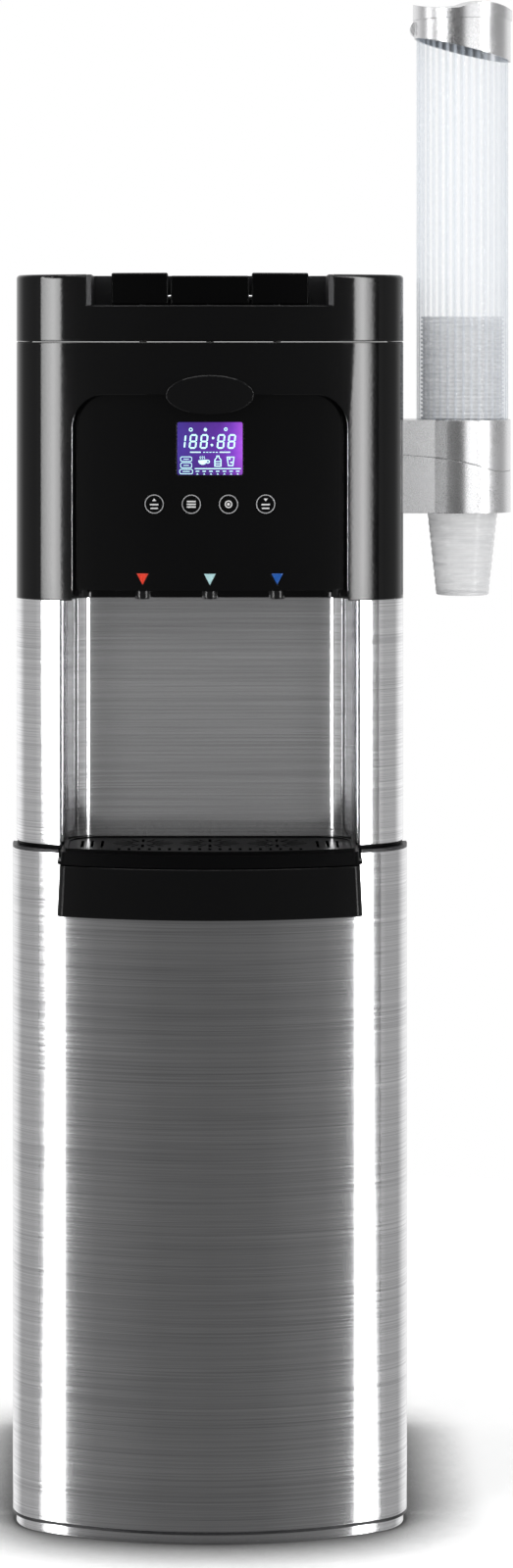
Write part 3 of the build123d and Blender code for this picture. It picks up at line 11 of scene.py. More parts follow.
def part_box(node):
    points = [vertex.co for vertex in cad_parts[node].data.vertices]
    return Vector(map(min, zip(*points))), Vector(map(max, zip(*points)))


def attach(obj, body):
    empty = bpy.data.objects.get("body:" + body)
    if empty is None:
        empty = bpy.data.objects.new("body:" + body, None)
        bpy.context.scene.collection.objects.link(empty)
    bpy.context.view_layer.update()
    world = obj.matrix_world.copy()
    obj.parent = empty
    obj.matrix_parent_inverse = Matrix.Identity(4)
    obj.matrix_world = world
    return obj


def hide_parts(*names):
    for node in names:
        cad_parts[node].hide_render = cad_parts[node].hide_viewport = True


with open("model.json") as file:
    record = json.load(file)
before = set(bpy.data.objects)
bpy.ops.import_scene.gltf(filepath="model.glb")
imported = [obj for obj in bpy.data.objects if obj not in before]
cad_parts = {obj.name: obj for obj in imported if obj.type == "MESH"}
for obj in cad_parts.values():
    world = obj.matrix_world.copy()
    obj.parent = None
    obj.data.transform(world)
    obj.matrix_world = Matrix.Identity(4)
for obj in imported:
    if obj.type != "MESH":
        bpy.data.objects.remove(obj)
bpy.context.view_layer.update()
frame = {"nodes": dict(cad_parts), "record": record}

scene = bpy.context.scene
nodes = frame["nodes"]

# ---------------------------------------------------------------- camera

PIXELS_HIGH = 1600
CAMERA_BACK = 3.180          # distance in front of the middle of the cabinet
CAMERA_HEIGHT = 0.951
PIXELS_PER_METRE = 1285.0    # on the plane of the door's front
FRONT_Y = -0.180
SHIFT_RIGHT_PIXELS = 47.5
SHIFT_DOWN_PIXELS = 445.0
SENSOR = 36.0

lens = bpy.data.cameras.new("camera")
lens.sensor_width = SENSOR
lens.lens = PIXELS_PER_METRE * (CAMERA_BACK + FRONT_Y) / PIXELS_HIGH * SENSOR
lens.shift_x = SHIFT_RIGHT_PIXELS / PIXELS_HIGH
lens.shift_y = -SHIFT_DOWN_PIXELS / PIXELS_HIGH
camera = bpy.data.objects.new("camera", lens)
camera.location = (0, -CAMERA_BACK, CAMERA_HEIGHT)
camera.rotation_euler = (math.radians(90), 0, 0)
scene.collection.objects.link(camera)
scene.camera = camera
scene.view_settings.view_transform = "Standard"


# ---------------------------------------------------------------- helpers

def middle(part, axes="xy"):
    """The middle of a node's box, along two axes."""
    low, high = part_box(part)
    return tuple((getattr(low, axis) + getattr(high, axis)) / 2 for axis in axes)


def piece_of(name, mesh, material, body):
    """A new piece of the object from a mesh or a curve, riding on a body."""
    mesh.materials.append(material)
    piece = bpy.data.objects.new(name, mesh)
    scene.collection.objects.link(piece)
    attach(piece, body)
    return piece


def node(tree, kind, inputs=None, **settings):
    """A new shader node, its inputs set or linked, and its outputs."""
    made = tree.nodes.new("ShaderNode" + kind)
    for key, value in settings.items():
        setattr(made, key, value)
    for key, value in (inputs or {}).items():
        if isinstance(value, bpy.types.NodeSocket):
            tree.links.new(value, made.inputs[key])
        else:
            made.inputs[key].default_value = value
    return made.outputs


def maths(tree, operation, *values):
    return node(tree, "Math", dict(enumerate(values)), operation=operation)[0]


def noise(tree, size, stretch=(1, 1, 1), detail=2.0):
    """Noise of size cells to the metre, stretched along the axes."""
    place = node(tree, "TexCoord")["Object"]
    place = node(tree, "Mapping", {"Vector": place, "Scale": stretch})[0]
    return node(tree, "TexNoise", {"Vector": place, "Scale": size, "Detail": detail})[0]


def spread(tree, value, low, high, start=0.3, end=0.7):
    """value from start to end, taken to low to high."""
    return node(
        tree,
        "MapRange",
        {"Value": value, "From Min": start, "From Max": end, "To Min": low, "To Max": high},
    )[0]


def ramp(tree, value, stops):
    """A colour ramp with (place, colour or grey) stops."""
    made = tree.nodes.new("ShaderNodeValToRGB")
    tree.links.new(value, made.inputs[0])
    elements = made.color_ramp.elements
    elements.remove(elements[1])
    for i, (place, color) in enumerate(stops):
        element = elements[0] if i == 0 else elements.new(place)
        element.position = place
        color = color if isinstance(color, tuple) else (color,) * 3
        element.color = (*color, 1)
    return made.outputs[0]


def shader(name, color, rough, metallic=0.0, inputs=None):
    """A material, its tree and its principled shader."""
    made = bpy.data.materials.new(name)
    made.use_nodes = True
    tree = made.node_tree
    bsdf = tree.nodes["Principled BSDF"]
    start = {"Base Color": (*color, 1), "Roughness": rough, "Metallic": metallic}
    for key, value in {**start, **(inputs or {})}.items():
        bsdf.inputs[key].default_value = value
    return made, tree, bsdf


def relief(tree, bsdf, height, depth, edge=0.0):
    """Bumps of that depth in metres, on edges that look rounded by edge metres."""
    inputs = {"Height": height, "Distance": depth, "Strength": 1.0}
    if edge:
        inputs["Normal"] = node(tree, "Bevel", {"Radius": edge}, samples=4)[0]
    tree.links.new(node(tree, "Bump", inputs)[0], bsdf.inputs["Normal"])


def finish_of(name, color, rough, metallic=0.0, grain=900, stretch=(1, 1, 1), depth=2e-5,
              patch=12, wander=0.12, rough_wander=0.25, edge=0.0006, inputs=None):
    """A material whose colour and roughness wander in patches, over a fine grain."""
    made, tree, bsdf = shader(name, color, rough, metallic, inputs)
    patches = noise(tree, patch, detail=4)
    fine = noise(tree, grain, stretch)
    both = maths(tree, "ADD", maths(tree, "MULTIPLY", patches, 0.6), maths(tree, "MULTIPLY", fine, 0.4))
    dark = tuple(c * (1 - wander) for c in color)
    light = tuple(min(1, c * (1 + wander)) for c in color)
    tree.links.new(ramp(tree, both, [(0.35, dark), (0.65, light)]), bsdf.inputs["Base Color"])
    rough_now = spread(tree, both, rough * (1 - rough_wander), rough * (1 + rough_wander))
    tree.links.new(rough_now, bsdf.inputs["Roughness"])
    relief(tree, bsdf, fine, depth, edge)
    return made


# ---------------------------------------------------------------- stage and light

WHITE = (1, 1, 1, 1)
PLAIN_LIGHT = 0.55           # strength of the white light on surfaces that don't mirror
# angles in degrees from straight behind the camera, and how bright the studio is there
ROOM = (
    (0, 0.132), (17, 0.142), (30, 0.178), (37, 0.20), (43, 0.27), (47, 0.40), (53.8, 0.38), (54.5, 0.10),
    (56.2, 0.14), (58.8, 0.62), (70, 0.46), (108, 0.46), (130, 1.0), (150, 1.1), (180, 0.8),
)
STRIP = ((47.8, 0.0), (48.2, 0.6), (51, 1.0), (52.6, 0.7), (53.4, 0.5), (53.8, 0.0))
STRIP_LOW = 10.0             # strength of the strips well below the horizon
STRIP_HIGH = 23.0            # and from the horizon up
LEFT_STRIP_SHIFT = 0.03      # part of its angle by which the left strip then stands further out

FLOOR_RADIUS = 1.4
FLOOR_GLOW = 0.42            # lifts the floor to white for the camera
PAINTED_SHADOW_REACH = 0.075        # how far from the object the painted contact shadow still darkens the floor
FLOOR_FADE = (0.45, 1.2)     # from where to where the floor fades out
MIRROR_FADE = (0.165, 0.20)  # the same in reflections


def studio_world():
    """White where it is seen, plain grey as a light, and a studio where metal reflects it.

    The studio is drawn by the angle from straight behind the camera: a room that brightens towards
    its far end, and a tall strip light on each side.
    """
    world = bpy.data.worlds.new("studio")
    scene.world = world
    world.use_nodes = True
    tree = world.node_tree
    tree.nodes.clear()
    way = node(tree, "SeparateXYZ", {0: node(tree, "TexCoord")["Generated"]})
    across = maths(tree, "ABSOLUTE", way["X"])
    forward = maths(tree, "MULTIPLY", way["Y"], -1.0)
    turn = maths(tree, "DIVIDE", maths(tree, "ARCTAN2", across, forward), math.pi)
    high = spread(tree, way["Z"], 0.0, 1.0, start=-0.12, end=-0.06)
    left = maths(tree, "MULTIPLY", high, spread(tree, way["X"], 1.0, 0.0, start=-0.1, end=0.1))
    shift = maths(tree, "MULTIPLY", left, LEFT_STRIP_SHIFT)
    turn = maths(tree, "MULTIPLY", turn, maths(tree, "SUBTRACT", 1.0, shift))
    room = ramp(tree, turn, [(degrees / 180, grey) for degrees, grey in ROOM])
    strip = ramp(tree, turn, [(degrees / 180, grey) for degrees, grey in STRIP])
    level = ramp(tree, maths(tree, "ABSOLUTE", way["Z"]), [(0.55, 1.0), (0.75, 0.0)])
    power = maths(tree, "ADD", STRIP_LOW, maths(tree, "MULTIPLY", high, STRIP_HIGH - STRIP_LOW))
    strip = maths(tree, "MULTIPLY", strip, maths(tree, "MULTIPLY", level, power))
    mirrored = node(tree, "Background", {"Color": room, "Strength": 1.0})[0]
    lit = node(tree, "Background", {"Color": WHITE, "Strength": strip})[0]
    mirrored = node(tree, "AddShader", {0: mirrored, 1: lit})[0]
    path = node(tree, "LightPath")
    plain = node(tree, "Background", {"Color": WHITE, "Strength": PLAIN_LIGHT})[0]
    white = node(tree, "Background", {"Color": WHITE, "Strength": 1.0})[0]
    shown = node(tree, "MixShader", {0: path["Is Glossy Ray"], 1: plain, 2: mirrored})[0]
    seen = maths(tree, "MAXIMUM", path["Is Camera Ray"], path["Is Transmission Ray"])
    shown = node(tree, "MixShader", {0: seen, 1: shown, 2: white})[0]
    output = tree.nodes.new("ShaderNodeOutputWorld")
    tree.links.new(shown, output.inputs["Surface"])


def pale_floor():
    """A pale floor that fades into the white, and keeps the object's shadow, deepened near the object by a
    painted contact shadow.
    """
    mesh = bpy.data.meshes.new("floor")
    work = bmesh.new()
    bmesh.ops.create_circle(work, cap_ends=True, segments=96, radius=FLOOR_RADIUS)
    work.to_mesh(mesh)
    work.free()
    floor = bpy.data.objects.new("floor", mesh)
    scene.collection.objects.link(floor)
    made = bpy.data.materials.new("floor_white")
    made.use_nodes = True
    tree = made.node_tree
    tree.nodes.clear()
    grain = noise(tree, 60, detail=4)
    # painted contact shadow: occlusion darkens the floor's colour and its glow near the object
    contact = node(tree, "AmbientOcclusion", {"Distance": PAINTED_SHADOW_REACH}, samples=8)["AO"]
    painted_contact_shadow = ramp(tree, contact, [(0.3, 0.05), (0.55, 0.12), (0.8, 0.55), (1.0, 1.0)])
    color = ramp(tree, grain, [(0.3, 0.72), (0.7, 0.78)])
    color = node(tree, "VectorMath", {0: color, 1: painted_contact_shadow}, operation="MULTIPLY")[0]
    matte = node(tree, "BsdfDiffuse", {"Color": color})[0]
    glow = node(tree, "Emission", {"Color": painted_contact_shadow, "Strength": FLOOR_GLOW})[0]
    lifted = node(tree, "AddShader", {0: matte, 1: glow})[0]
    path = node(tree, "LightPath")
    shown = node(tree, "MixShader", {0: path["Is Camera Ray"], 1: matte, 2: lifted})[0]
    place = node(tree, "TexCoord")["Object"]
    out = node(tree, "VectorMath", {0: place}, operation="LENGTH")["Value"]
    edge = spread(tree, out, 0.0, 1.0, *FLOOR_FADE)
    mirrored_edge = spread(tree, out, 0.0, 1.0, *MIRROR_FADE)
    fade = maths(tree, "MAXIMUM", edge, maths(tree, "MULTIPLY", mirrored_edge, path["Is Glossy Ray"]))
    clear = node(tree, "BsdfTransparent")[0]
    shown = node(tree, "MixShader", {0: fade, 1: shown, 2: clear})[0]
    output = tree.nodes.new("ShaderNodeOutputMaterial")
    tree.links.new(shown, output.inputs["Surface"])
    mesh.materials.append(made)


def lamp(name, place, aim, size, watts, mirrored, only=()):
    """A soft lamp of that width and height, for everything or only for the named nodes and pieces.

    mirrored says whether it shows in shiny surfaces.
    """
    light = bpy.data.lights.new(name, "AREA")
    light.shape = "RECTANGLE"
    light.size, light.size_y = size
    light.energy = watts
    made = bpy.data.objects.new(name, light)
    made.location = place
    toward = Vector(aim) - Vector(place)
    made.rotation_euler = toward.to_track_quat("-Z", "Y").to_euler()
    made.visible_glossy = mirrored
    made.visible_camera = False
    made.visible_transmission = False
    scene.collection.objects.link(made)
    if only:
        lit = bpy.data.collections.new(name + "_lit")
        for part in only:
            lit.objects.link(nodes.get(part) or bpy.data.objects[part])
        made.light_linking.receiver_collection = lit
        made.light_linking.blocker_collection = lit


studio_world()
pale_floor()


# ---------------------------------------------------------------- materials

STEEL_LINES = ((0.34, 0.50), (0.5, 0.68), (0.68, 0.84))    # the noise, and the steel's grey there
PAINTED_LINES = ((0.3, 0.018), (0.7, 0.026))               # the same for the black paint
MILKY_NORMAL = (0.8, 0.98)       # how squarely a face looks forward where it starts and ends to be milky
MILKY_DEPTH = (-0.150, -0.125)   # and how far back it lies
FOOT_BAND = 0.0079               # height of the steel band below the door


def brushed_steel(name, tone=1.0, milky=0.0, foot=0.0):
    """Steel brushed across: long fine lines along X, and a streaked sheen up and down.

    milky greys its deep flat face, and foot is the height above which the piece is painted black.
    """
    made, tree, bsdf = shader(name, (0.68 * tone,) * 3, 0.10, 1.0, {
        "Anisotropic": 0.9, "Anisotropic Rotation": 0.25,
    })
    hair = noise(tree, 1.0, (9, 9, 2600), 3)
    line = noise(tree, 1.0, (4, 4, 900), 3)
    band = noise(tree, 1.0, (1.2, 1.2, 34), 3)
    lines = maths(tree, "ADD", maths(tree, "MULTIPLY", hair, 0.45), maths(tree, "MULTIPLY", line, 0.45))
    lines = maths(tree, "ADD", lines, maths(tree, "MULTIPLY", band, 0.1))
    greys = [(at, (grey * tone, grey * tone, (grey + 0.01) * tone)) for at, grey in STEEL_LINES]
    color = ramp(tree, lines, greys)
    tree.links.new(color, bsdf.inputs["Base Color"])
    tree.links.new(spread(tree, lines, 0.085, 0.125), bsdf.inputs["Roughness"])
    if milky:
        way = node(tree, "SeparateXYZ", {0: node(tree, "TexCoord")["Normal"]})
        flat = spread(tree, maths(tree, "MULTIPLY", way["Y"], -1.0), 0.0, 1.0, *MILKY_NORMAL)
        deep = node(tree, "SeparateXYZ", {0: node(tree, "TexCoord")["Object"]})
        flat = maths(tree, "MULTIPLY", flat, spread(tree, deep["Y"], 0.0, 1.0, *MILKY_DEPTH))
        bare = maths(tree, "SUBTRACT", 1.0, maths(tree, "MULTIPLY", flat, milky))
        tree.links.new(bare, bsdf.inputs["Metallic"])
    if foot:
        up = node(tree, "SeparateXYZ", {0: node(tree, "TexCoord")["Object"]})["Z"]
        skin = spread(tree, up, 1.0, 0.0, foot - 0.0001, foot + 0.0001)
        mixed = node(tree, "Mix", {0: skin, 6: ramp(tree, band, PAINTED_LINES), 7: color}, data_type="RGBA")
        rough = maths(tree, "SUBTRACT", 0.42, maths(tree, "MULTIPLY", skin, 0.31))
        tree.links.new(mixed[2], bsdf.inputs["Base Color"])
        tree.links.new(skin, bsdf.inputs["Metallic"])
        tree.links.new(rough, bsdf.inputs["Roughness"])
    tangent = node(tree, "Tangent", direction_type="RADIAL", axis="Z")[0]
    tree.links.new(tangent, bsdf.inputs["Tangent"])
    relief(tree, bsdf, line, 4e-6, 0.0008)
    return made


def lit_window(name):
    """The display: a violet glow, brighter and redder towards its right, behind clear plastic."""
    made, tree, bsdf = shader(name, (0.02, 0.015, 0.05), 0.12)
    low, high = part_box("display_window")
    place = node(tree, "SeparateXYZ", {0: node(tree, "TexCoord")["Object"]})
    u = spread(tree, place["X"], 0.0, 1.0, low.x, high.x)
    v = spread(tree, place["Z"], 0.0, 1.0, low.z, high.z)
    across = ramp(tree, u, [
        (0.0, (0.055, 0.03, 0.30)), (0.3, (0.075, 0.022, 0.28)), (0.65, (0.12, 0.025, 0.36)),
        (0.85, (0.24, 0.05, 0.62)), (1.0, (0.46, 0.10, 0.84)),
    ])
    up = ramp(tree, v, [(0.0, 0.6), (0.35, 0.95), (0.6, 1.0), (1.0, 0.8)])
    grain = ramp(tree, noise(tree, 260, detail=3), [(0.3, 0.92), (0.7, 1.05)])
    glow = node(tree, "VectorMath", {0: across, 1: up}, operation="MULTIPLY")[0]
    glow = node(tree, "VectorMath", {0: glow, 1: grain}, operation="MULTIPLY")[0]
    tree.links.new(glow, bsdf.inputs["Emission Color"])
    bsdf.inputs["Emission Strength"].default_value = 1.0
    relief(tree, bsdf, noise(tree, 900), 4e-6, 0.0004)
    return made


FLUTES = 36.0


def clear_plastic(name):
    """Fluted clear plastic, nearly see-through where it faces the eye.

    Its opacity rises between its flutes and where it turns away: painted refraction, standing for the
    stripes and dark edges that bent light gives.
    """
    made, tree, bsdf = shader(name, (0.70, 0.78, 0.88), 0.06)
    x, y = middle("cup_tube")
    place = node(tree, "SeparateXYZ", {0: node(tree, "TexCoord")["Object"]})
    out_x = maths(tree, "SUBTRACT", place["X"], x)
    out_y = maths(tree, "SUBTRACT", place["Y"], y)
    turn = maths(tree, "ARCTAN2", out_x, out_y)
    # painted refraction: stripes of opacity that follow the flutes
    flute_refraction = maths(tree, "SINE", maths(tree, "MULTIPLY", turn, FLUTES))
    wander = noise(tree, 1.0, (60, 60, 2), 2)
    flute_refraction = maths(tree, "MULTIPLY", spread(tree, flute_refraction, 0.0, 0.34, start=-0.1, end=0.9), wander)
    color = ramp(tree, wander, [(0.3, (0.66, 0.75, 0.86)), (0.7, (0.76, 0.82, 0.90))])
    tree.links.new(color, bsdf.inputs["Base Color"])
    # painted refraction: opacity rising where the wall turns away, for the dark edges
    facing = node(tree, "LayerWeight", {"Blend": 0.5})["Facing"]
    refraction_opacity = ramp(tree, facing, [(0.0, 0.03), (0.4, 0.05), (0.75, 0.16), (1.0, 0.62)])
    tree.links.new(maths(tree, "ADD", refraction_opacity, flute_refraction), bsdf.inputs["Alpha"])
    relief(tree, bsdf, noise(tree, 120), 1e-5)
    return made


def frosted_cup(name, thin, thick):
    """One thin frosted wall: pale grey, milkier where it turns away, with fine rings."""
    coat = {"Coat Weight": 0.5, "Coat Roughness": 0.12}
    made, tree, bsdf = shader(name, (0.88, 0.885, 0.89), 0.2, 0.0, coat)
    rings = noise(tree, 1.0, (30, 30, 800), 2)
    color = ramp(tree, rings, [(0.3, (0.74, 0.75, 0.77)), (0.65, (0.93, 0.93, 0.94))])
    tree.links.new(color, bsdf.inputs["Base Color"])
    facing = node(tree, "LayerWeight", {"Blend": 0.5})["Facing"]
    milky = ramp(tree, facing, [(0.0, thin), (0.6, (thin * 2 + thick) / 3), (1.0, thick)])
    tree.links.new(maths(tree, "ADD", milky, spread(tree, rings, 0.10, -0.10)), bsdf.inputs["Alpha"])
    relief(tree, bsdf, rings, 4e-5)
    return made


def lit_ink(name):
    """The display's pale green marks, which glow."""
    made, tree, bsdf = shader(name, (0.45, 0.85, 0.82), 0.3)
    glow = ramp(tree, noise(tree, 500, detail=3), [(0.3, (0.50, 0.93, 0.92)), (0.7, (0.72, 1.0, 0.98))])
    tree.links.new(glow, bsdf.inputs["Emission Color"])
    bsdf.inputs["Emission Strength"].default_value = 0.75
    return made


def glossy(name, color, rough=0.07, **more):
    """Polished plastic with softly rounded edges."""
    return finish_of(name, color, rough, grain=380, depth=6e-6, rough_wander=0.4, edge=0.0016, **more)


def satin(name, color, rough, **more):
    """Fine matte plastic."""
    return finish_of(name, color, rough, grain=2200, depth=4e-5, edge=0.0006, **more)


def moulded(name, color, rough=0.45, **more):
    """Plastic or paint with a moulded grain."""
    return finish_of(name, color, rough, grain=1500, depth=3e-5, edge=0.0006, **more)


def metal(name, color, rough, **more):
    return finish_of(name, color, rough, 1.0, **more)


def specular(level):
    return {"Specular IOR Level": level}


SLOTS = {
    "steel_skin": brushed_steel,
    "tray_black": lambda n: satin(n, (0.003, 0.003, 0.0032), 0.36, inputs={"IOR": 1.1}),
    "black_gloss": lambda n: glossy(n, (0.0032, 0.0032, 0.0034), 0.045, inputs=specular(0.27)),
    "black_plastic": lambda n: moulded(n, (0.022, 0.022, 0.024), 0.42),
    "panel_black": lambda n: glossy(n, (0.0026, 0.0026, 0.0028), 0.035, inputs=specular(0.25)),
    "badge_black": lambda n: glossy(n, (0.0015, 0.0015, 0.0018), 0.04),
    "side_paint": lambda n: moulded(n, (0.035, 0.035, 0.038), 0.38, patch=6),
    "zinc_steel": lambda n: metal(n, (0.58, 0.59, 0.60), 0.34, grain=500, depth=1e-5),
    "hardware": lambda n: metal(n, (0.55, 0.55, 0.56), 0.24, stretch=(1, 1, 6), depth=8e-6),
    "magnet": lambda n: moulded(n, (0.05, 0.05, 0.05), 0.6),
    "display": lit_window,
    "board": lambda n: moulded(n, (0.02, 0.12, 0.05), 0.4),
    "marker_red": lambda n: glossy(n, (0.75, 0.045, 0.02), 0.25),
    "marker_pale": lambda n: glossy(n, (0.46, 0.72, 0.74), 0.25),
    "marker_blue": lambda n: glossy(n, (0.012, 0.10, 0.42), 0.25),
    "button_black": lambda n: glossy(n, (0.001, 0.001, 0.0012), 0.05, inputs=specular(0.3)),
    "tap_black": lambda n: glossy(n, (0.01, 0.01, 0.011), 0.10),
    "key_black": lambda n: glossy(n, (0.0012, 0.0012, 0.0013), 0.05, inputs=specular(0.15)),
    "tank_steel": lambda n: metal(n, (0.62, 0.62, 0.62), 0.3, stretch=(1, 1, 9), depth=1e-5),
    "foam": lambda n: moulded(n, (0.72, 0.72, 0.69), 0.85, patch=40),
    "aluminium": lambda n: metal(n, (0.72, 0.73, 0.74), 0.35, stretch=(1, 9, 1), depth=1e-5),
    "white_plastic": lambda n: moulded(n, (0.78, 0.78, 0.75), 0.42),
    "silicone": lambda n: moulded(n, (0.72, 0.73, 0.70), 0.35, inputs={
        "Subsurface Weight": 0.3, "Subsurface Scale": 0.003,
    }),
    "silver_plastic": lambda n: metal(
        n, (0.68, 0.68, 0.69), 0.27, grain=1400, depth=1.5e-5, wander=0.06, edge=0.0008
    ),
    "clear_plastic": clear_plastic,
    "cup_plastic": lambda n: frosted_cup(n, 0.42, 0.9),
}

made_slots = {}


def slot_material(slot):
    """The slot's material, made once."""
    if slot not in made_slots:
        made_slots[slot] = SLOTS[slot](slot)
    return made_slots[slot]


for part in frame["record"]["subparts"]:
    mesh = nodes[part["node"]].data
    mesh.materials.clear()
    mesh.materials.append(slot_material(part["material_slot"]))
for name in ("drip_tray", "drip_grille", "deck"):
    nodes[name].data.materials[0] = slot_material("tray_black")
nodes["base_pan"].data.materials[0] = brushed_steel("steel_foot", foot=FOOT_BAND)
nodes["niche_panel"].data.materials[0] = brushed_steel("steel_niche", tone=1.12, milky=0.18)


# ---------------------------------------------------------------- cups

CUP_PITCH = 0.0035           # from one cup's rim to the next in the stack
# one cup's rolled rim in the stack: steps from its greatest radius and from its top
BEAD = (
    (-0.0019, -CUP_PITCH), (-0.0017, -0.0020), (-0.0003, -0.0017), (0, -0.0010), (-0.0003, -0.0003),
    (-0.0012, 0),
)
CUP_FOOT = 0.022             # radius of the lowest cup's foot
CUP_ROLL = 0.0018            # how far the rolled rim stands out from the wall
RING_PITCH = 0.0062          # from one ring of its wall to the next
RING_HEIGHT = 0.0044
RING_OUT = 0.00022


def turned(name, center, profile, closed, slot, body, instead, sides=96):
    """A thin wall turned about an upright axis, from a profile of radius and height, upwards."""
    work = bmesh.new()
    rows = []
    for radius, z in profile:
        angles = (i * math.tau / sides for i in range(sides))
        rows.append([
            work.verts.new((center[0] + radius * math.cos(t), center[1] + radius * math.sin(t), z))
            for t in angles
        ])
    for low, high in zip(rows, rows[1:]):
        for i in range(sides):
            work.faces.new((low[i - 1], low[i], high[i], high[i - 1]))
    if closed:
        work.faces.new(rows[0][::-1])
    for face in work.faces:
        face.smooth = len(face.verts) == 4
    mesh = bpy.data.meshes.new(name)
    work.to_mesh(mesh)
    work.free()
    piece = piece_of(name, mesh, slot_material(slot), body)
    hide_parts(instead)


def nested_cups():
    """The stack in the tube, of which only the rims show: one bead for each cup."""
    low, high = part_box("cup_stack")
    rim = (high.x - low.x) / 2
    lowest_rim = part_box("lowest_cup")[1].z
    count = math.ceil((high.z - lowest_rim - 0.001) / CUP_PITCH)
    profile = [(rim - 0.0022, lowest_rim + 0.0002)]
    for i in reversed(range(count)):
        profile += [(rim + out, high.z - i * CUP_PITCH + up) for out, up in BEAD]
    turned("cups_in_tube", middle("cup_stack"), profile, False, "cup_plastic", "cabinet", "cup_stack")


def hanging_cup():
    """The lowest cup: a foot, a tapered wall with shallow rings, and a rolled rim."""
    low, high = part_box("lowest_cup")
    rim = (high.x - low.x) / 2
    wall = rim - CUP_ROLL
    tall = high.z - low.z

    def radius(z):
        return CUP_FOOT + (wall - CUP_FOOT) * (z - low.z) / tall

    profile = [
        (CUP_FOOT - 0.0025, low.z + 0.0024), (CUP_FOOT - 0.0017, low.z + 0.0008), (CUP_FOOT - 0.0008, low.z),
        (CUP_FOOT, low.z + 0.0006),
    ]
    z = low.z + 0.003
    while z < high.z - 0.012:
        crest, end = z + RING_HEIGHT / 2, z + RING_HEIGHT
        profile += [(radius(z), z), (radius(z) + RING_OUT, crest), (radius(z), end)]
        z += RING_PITCH
    profile += [
        (radius(high.z - 0.004), high.z - 0.004), (wall, high.z - 0.0024), (rim, high.z - 0.0018),
        (rim, high.z - 0.0006), (wall, high.z),
    ]
    turned("cup_below", middle("lowest_cup"), profile, True, "cup_plastic", "cup", "lowest_cup")


nested_cups()
hanging_cup()


# ---------------------------------------------------------------- lamps

CUPS = middle("cup_tube")
BRACKETS = ["cup_bracket_upper", "cup_bracket_lower"]
CUP_SIDE = [*BRACKETS, "cup_cap", "cup_tube", "cups_in_tube", "cup_below"]
BLACK_PARTS = [
    "door_handle", "deck", "drip_tray", "drip_grille", "head_cover", "top_cover", "control_panel",
    "key_hot", "key_room", "key_cold",
]

lamp("lamp_left", (-1.5, -1.6, 1.2), (0, 0, 0.6), (0.7, 1.8), 14, False)
lamp("lamp_right", (1.5, -1.6, 1.2), (0, 0, 0.6), (0.7, 1.8), 11, False)
lamp("lamp_top", (0, -0.2, 2.7), (0, 0, 0.6), (1.6, 1.2), 18, True)
lamp("lamp_back", (0.4, 2.2, 1.6), (0, 0, 0.6), (1.6, 1.6), 14, False)
lamp("lamp_bracket", (-0.654, -0.505, 0.86), (*CUPS, 0.86), (0.5, 0.4), 4.5, True, BRACKETS)
lamp("lamp_lip", (0, -0.30, 2.3), (0, -0.15, 0.6), (1.2, 0.06), 3, True, BLACK_PARTS)
lamp("lamp_cups_right", (0.70, -1.42, 1.0), (*CUPS, 1.0), (0.84, 0.9), 3.9, True, CUP_SIDE)
lamp("lamp_cups_left", (-0.95, -0.06, 1.25), (*CUPS, 1.2), (0.22, 0.6), 1.2, True, CUP_SIDE)


# ---------------------------------------------------------------- printed and lit marks

# A mark is a list of flat shapes. A shape is a ring of points, right and up in millimetres from the
# middle of the node that carries the mark.

MARK_PROUD = 0.00008         # metres by which marks stand out
MARK_SUNK = 0.0001           # and reach in
SEGMENT_GAP = 0.16           # millimetres from a segment's tip to the corner of its digit


def surface_of(part):
    """A search tree of a node's surface."""
    mesh = nodes[part].data
    corners = [vertex.co for vertex in mesh.vertices]
    faces = [list(face.vertices) for face in mesh.polygons]
    return BVHTree.FromPolygons(corners, faces)


def front_of(tree, x, z):
    """Where a line from the front at x, z first meets the surface."""
    return tree.ray_cast(Vector((x, -1, z)), Vector((0, 1, 0)))[0].y


def marks(name, shapes, carrier, body, material):
    """The shapes of a mark as one piece, laid on the front of the node that carries it."""
    center = middle(carrier, "xz")
    tree = surface_of(carrier)
    work = bmesh.new()
    for shape in shapes:
        top, foot = [], []
        for x, z in shape:
            x, z = center[0] + x / 1000, center[1] + z / 1000
            y = front_of(tree, x, z)
            top.append(work.verts.new((x, y - MARK_PROUD, z)))
            foot.append(work.verts.new((x, y + MARK_SUNK, z)))
        work.faces.new(top)
        for i in range(len(top)):
            work.faces.new((top[i - 1], foot[i - 1], foot[i], top[i]))
    bmesh.ops.recalc_face_normals(work, faces=work.faces)
    mesh = bpy.data.meshes.new(name)
    work.to_mesh(mesh)
    work.free()
    piece_of(name, mesh, material, body)


def around(x, z, radius, degrees):
    """The point at that angle on a circle."""
    turn = math.radians(degrees)
    return x + radius * math.cos(turn), z + radius * math.sin(turn)


def stroke(points, width, closed=False):
    """Short slabs along a line of points, mitred where they meet."""
    count = len(points)
    sides = []
    for i, (x, z) in enumerate(points):
        before = points[i - 1] if closed or i > 0 else None
        after = points[(i + 1) % count] if closed or i < count - 1 else None
        ways = []
        for p, q in ((before, (x, z)), ((x, z), after)):
            if p and q:
                way = Vector((q[0] - p[0], q[1] - p[1])).normalized()
                ways.append(Vector((-way.y, way.x)))
        normal = sum(ways, Vector((0, 0))).normalized()
        reach = normal * (width / 2 / max(0.4, normal.dot(ways[0])))
        sides.append(((x + reach.x, z + reach.y), (x - reach.x, z - reach.y)))
    steps = range(count if closed else count - 1)
    return [(sides[i][0], sides[(i + 1) % count][0], sides[(i + 1) % count][1], sides[i][1]) for i in steps]


